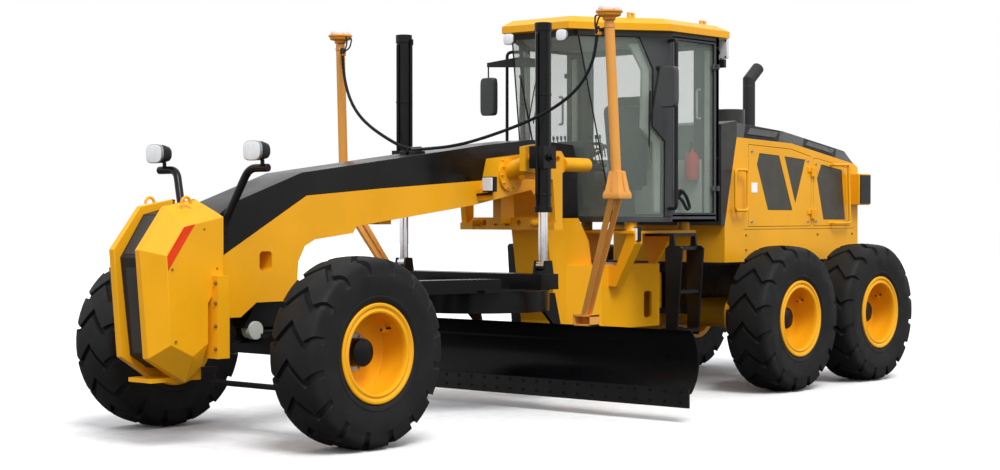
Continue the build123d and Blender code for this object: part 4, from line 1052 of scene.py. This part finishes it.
# The wire mesh behind each door's windows: two in the front door, one in the rear door.
MESHES = {
    "front": [[(-5.833, 2.225), (-6.183, 2.209), (-6.429, 1.678), (-5.986, 1.678), (-5.788, 2.117)],
              [(-6.281, 2.205), (-6.671, 2.18), (-6.484, 1.74)]],
    "rear": [[(-6.973, 2.14), (-7.378, 2.09), (-7.444, 1.583), (-7.016, 1.584), (-6.89, 1.997)]],
}
LATCHES = {
    "front": [(-5.7, 2.24), (-5.7, 1.57), (-6.72, 1.57), (-6.72, 2.17)],
    "rear": [(-6.87, 2.14), (-6.87, 1.57), (-7.51, 1.57)],
}


def shrunk(points, gap):
    """The outline with each corner drawn in towards the middle."""
    cx, cz = sum(p[0] for p in points) / len(points), sum(p[1] for p in points) / len(points)
    out = []
    for x, z in points:
        away = math.hypot(x - cx, z - cz)
        out.append((x + (cx - x) * gap / away, z + (cz - z) * gap / away))
    return out


for side, sign in SIDES:
    for door, outlines in MESHES.items():
        sheets = [side_of(prism(shrunk(outline, 0.003), "y", HOOD_Y - 0.0135, HOOD_Y - 0.004),
                          sign) for outline in outlines]
        piece(f"hood_mesh_{door}_{side}", sheets, "window_mesh", f"hood_door_{door}_{side}")
    plate = side_of(box(-5.795, -5.69, HOOD_Y, HOOD_Y + 0.003, 1.845, 1.94), sign)
    piece(f"hood_plate_{side}", [plate], "plate_white", f"hood_door_front_{side}",
          bevel=0.001)
    for door, places in LATCHES.items():
        latches = [part for x, z in places for part in bolt(x, sign * HOOD_Y, z, "y", 0.02, sign)]
        piece(f"hood_door_latches_{door}_{side}", latches, "bolt_steel", f"hood_door_{door}_{side}")

seams = [box(-7.62, -5.56, HOOD_Y - 0.002, HOOD_Y + 0.0012, 1.494, 1.5)]
for x, z in ((-5.6, 1.44), (-5.6, 1.3), (-6.9, 1.44), (-7.58, 1.44)):
    seams += bolt(x, HOOD_Y, z, "y", 0.016)
piece("hood_seams", both(seams), "nose_bolt", "rear")

HOOD_CAP_LOW = [(-5.44, 2.364), (-6.409, 2.334), (-7.6, 2.162)]
HOOD_CAP_HIGH = [(-5.44, 2.52), (-6.409, 2.458), (-7.6, 2.292)]


def along(line, x):
    for (x0, z0), (x1, z1) in zip(line, line[1:]):
        if x >= x1:
            return z0 + (x - x0) / (x1 - x0) * (z1 - z0)
    return line[-1][1]


def on_cap(x, f, out):
    """A place on the hood cap's leaning side: f from its lower edge to its upper, out metres off it."""
    low, high = along(HOOD_CAP_LOW, x), along(HOOD_CAP_HIGH, x)
    return (x, HOOD_Y - 0.105 * f + 0.83 * out, low + (high - low) * f + 0.55 * out)


def vent_sheet(front, rear, gap, slant, low_f, high_f, bottom, top):
    """A four-sided plate on the cap's side, from bottom to top off it, gap in from the vent's ends."""
    corners = [(front - gap, low_f), (front - slant, high_f), (rear + gap, high_f), (rear + slant, low_f)]
    return brick(*([on_cap(x, f, out) for x, f in corners] for out in (bottom, top)))


frames, lids = [], []
for front, rear in ((-5.6, -6.33), (-6.66, -7.4)):
    frames.append(vent_sheet(front, rear, -0.03, 0.15, 0.06, 0.96, -0.002, 0.004))
    lids.append(vent_sheet(front, rear, 0.045, 0.185, 0.26, 0.76, 0.002, 0.01))
piece("hood_vent_frames", both(frames), "cable_rubber", "rear")
piece("hood_vent_lids", both(lids), "cap_plastic", "rear", bevel=0.003)

# lamp boxes behind the doors
housing = box(-7.745, -7.525, 0.652, 0.768, 1.735, 2.055)
faces = [box(-7.733, -7.537, 0.766, 0.776, 1.748, 2.042), box(-7.757, -7.744, 0.66, 0.77, 1.745, 2.045)]
lenses = [rod((-7.76, 0.715, z), (-7.755, 0.715, z), 0.07, 20) for z in (1.8, 1.9, 2.0)]
piece("rear_lamp_housings", both([housing]), "machine_yellow", "rear", ["rear_lamps"], bevel=0.006)
piece("rear_lamp_faces", both(faces), "dark_frame", "rear", ["rear_lamps"], bevel=0.002)
piece("rear_lamp_lenses", both(lenses), "bottle_red", "rear", ["rear_lamps"])

# radiator guard
forms = []
for k in range(15):
    z = 1.33 + k * 0.0445
    forms.append(prism([(-7.697, z), (-7.675, z + 0.012), (-7.675, z + 0.026), (-7.697, z + 0.014)], "y",
                       -0.495, 0.495))
forms += [box(-7.699, -7.672, y - 0.012, y + 0.012, 1.305, 1.975) for y in (-0.25, 0.0, 0.25)]
piece("radiator_louvres", forms, "dark_plastic", "rear", ["radiator_grille"], bevel=0.001)
core = box(-7.674, -7.666, -0.499, 0.499, 1.301, 1.979)
piece("radiator_core", [core], "window_mesh", "rear", ["radiator_grille"])

# exhaust clamps
band = [(0.061, -0.012), (0.0625, -0.012), (0.0625, 0.012), (0.061, 0.012)]
bands = [lathe(band, (-6.65, 0.0, z), "z", 32) for z in (2.5, 2.94)]
piece("exhaust_bands", bands, "bolt_steel", "rear")

# teeth of the ladders' steps
TOOTH_Y = 0.948
teeth = []
for z in (0.628, 0.973, 1.353):
    for k in range(9):
        x = -4.365 + k * 0.034
        teeth.append(rod((x, TOOTH_Y, z), (x, TOOTH_Y, z + 0.01), 0.012, 8))
piece("ladder_teeth", both(teeth), "dark_frame", "front")


# ------------------------------------------------------------ floor and light
def white_for_camera(tree, shown, lit):
    """The shader seen directly, in metal and through glass is shown; everything else gets lit."""
    path = tree.nodes.new("ShaderNodeLightPath")
    first = add(tree, "ShaderNodeMath", operation="MAXIMUM")
    second = add(tree, "ShaderNodeMath", operation="MAXIMUM")
    tree.links.new(path.outputs["Is Camera Ray"], first.inputs[0])
    tree.links.new(path.outputs["Is Transmission Ray"], first.inputs[1])
    tree.links.new(first.outputs[0], second.inputs[0])
    tree.links.new(path.outputs["Is Glossy Ray"], second.inputs[1])
    mix = tree.nodes.new("ShaderNodeMixShader")
    tree.links.new(second.outputs[0], mix.inputs[0])
    tree.links.new(lit, mix.inputs[1])
    tree.links.new(shown, mix.inputs[2])
    return mix.outputs[0]


def floor_material():
    """Pale ground: near white for the camera, darker as a reflector, so that the undersides stay deep."""
    material, tree, shader = new_material("floor")
    shown = mottle(tree, shader, (0.93, 0.93, 0.93), (0.86, 0.86, 0.86), 9.0)
    path = tree.nodes.new("ShaderNodeLightPath")
    mix = add(tree, "ShaderNodeMix", data_type="RGBA")
    dark, pale = mix.inputs[6], mix.inputs[7]
    dark.default_value = (0.16, 0.16, 0.16, 1)
    tree.links.new(path.outputs["Is Camera Ray"], mix.inputs[0])
    tree.links.new(shown, pale)
    tree.links.new(mix.outputs[2], shader.inputs["Base Color"])
    shader.inputs["Roughness"].default_value = 0.95
    shader.inputs["Specular IOR Level"].default_value = 0.0
    return material


FLOOR_HALF = 60
floor_corners = [(x * FLOOR_HALF, y * FLOOR_HALF, 0) for x, y in ((-1, -1), (1, -1), (1, 1), (-1, 1))]
floor_mesh = bpy.data.meshes.new("floor")
floor_mesh.from_pydata(floor_corners, [], [(0, 1, 2, 3)])
floor_mesh.materials.append(floor_material())
floor = bpy.data.objects.new("floor", floor_mesh)
bpy.context.scene.collection.objects.link(floor)

world = bpy.data.worlds.new("studio")
bpy.context.scene.world = world
world.use_nodes = True
tree = world.node_tree
background = tree.nodes["Background"]
background.inputs["Color"].default_value = (0.95, 0.97, 1.0, 1)
background.inputs["Strength"].default_value = 0.98
seen = tree.nodes.new("ShaderNodeBackground")
seen.inputs["Color"].default_value = (1, 1, 1, 1)
tree.links.new(white_for_camera(tree, seen.outputs[0], background.outputs[0]),
               tree.nodes["World Output"].inputs["Surface"])


key = bpy.data.lights.new("key", "SUN")
key.energy = 2.2
key.angle = math.radians(25)
key_object = bpy.data.objects.new("key", key)
bpy.context.scene.collection.objects.link(key_object)
key_object.rotation_euler = Vector((-0.3, -0.55, -0.85)).to_track_quat("-Z", "Y").to_euler()

bpy.context.scene.view_settings.view_transform = "Standard"
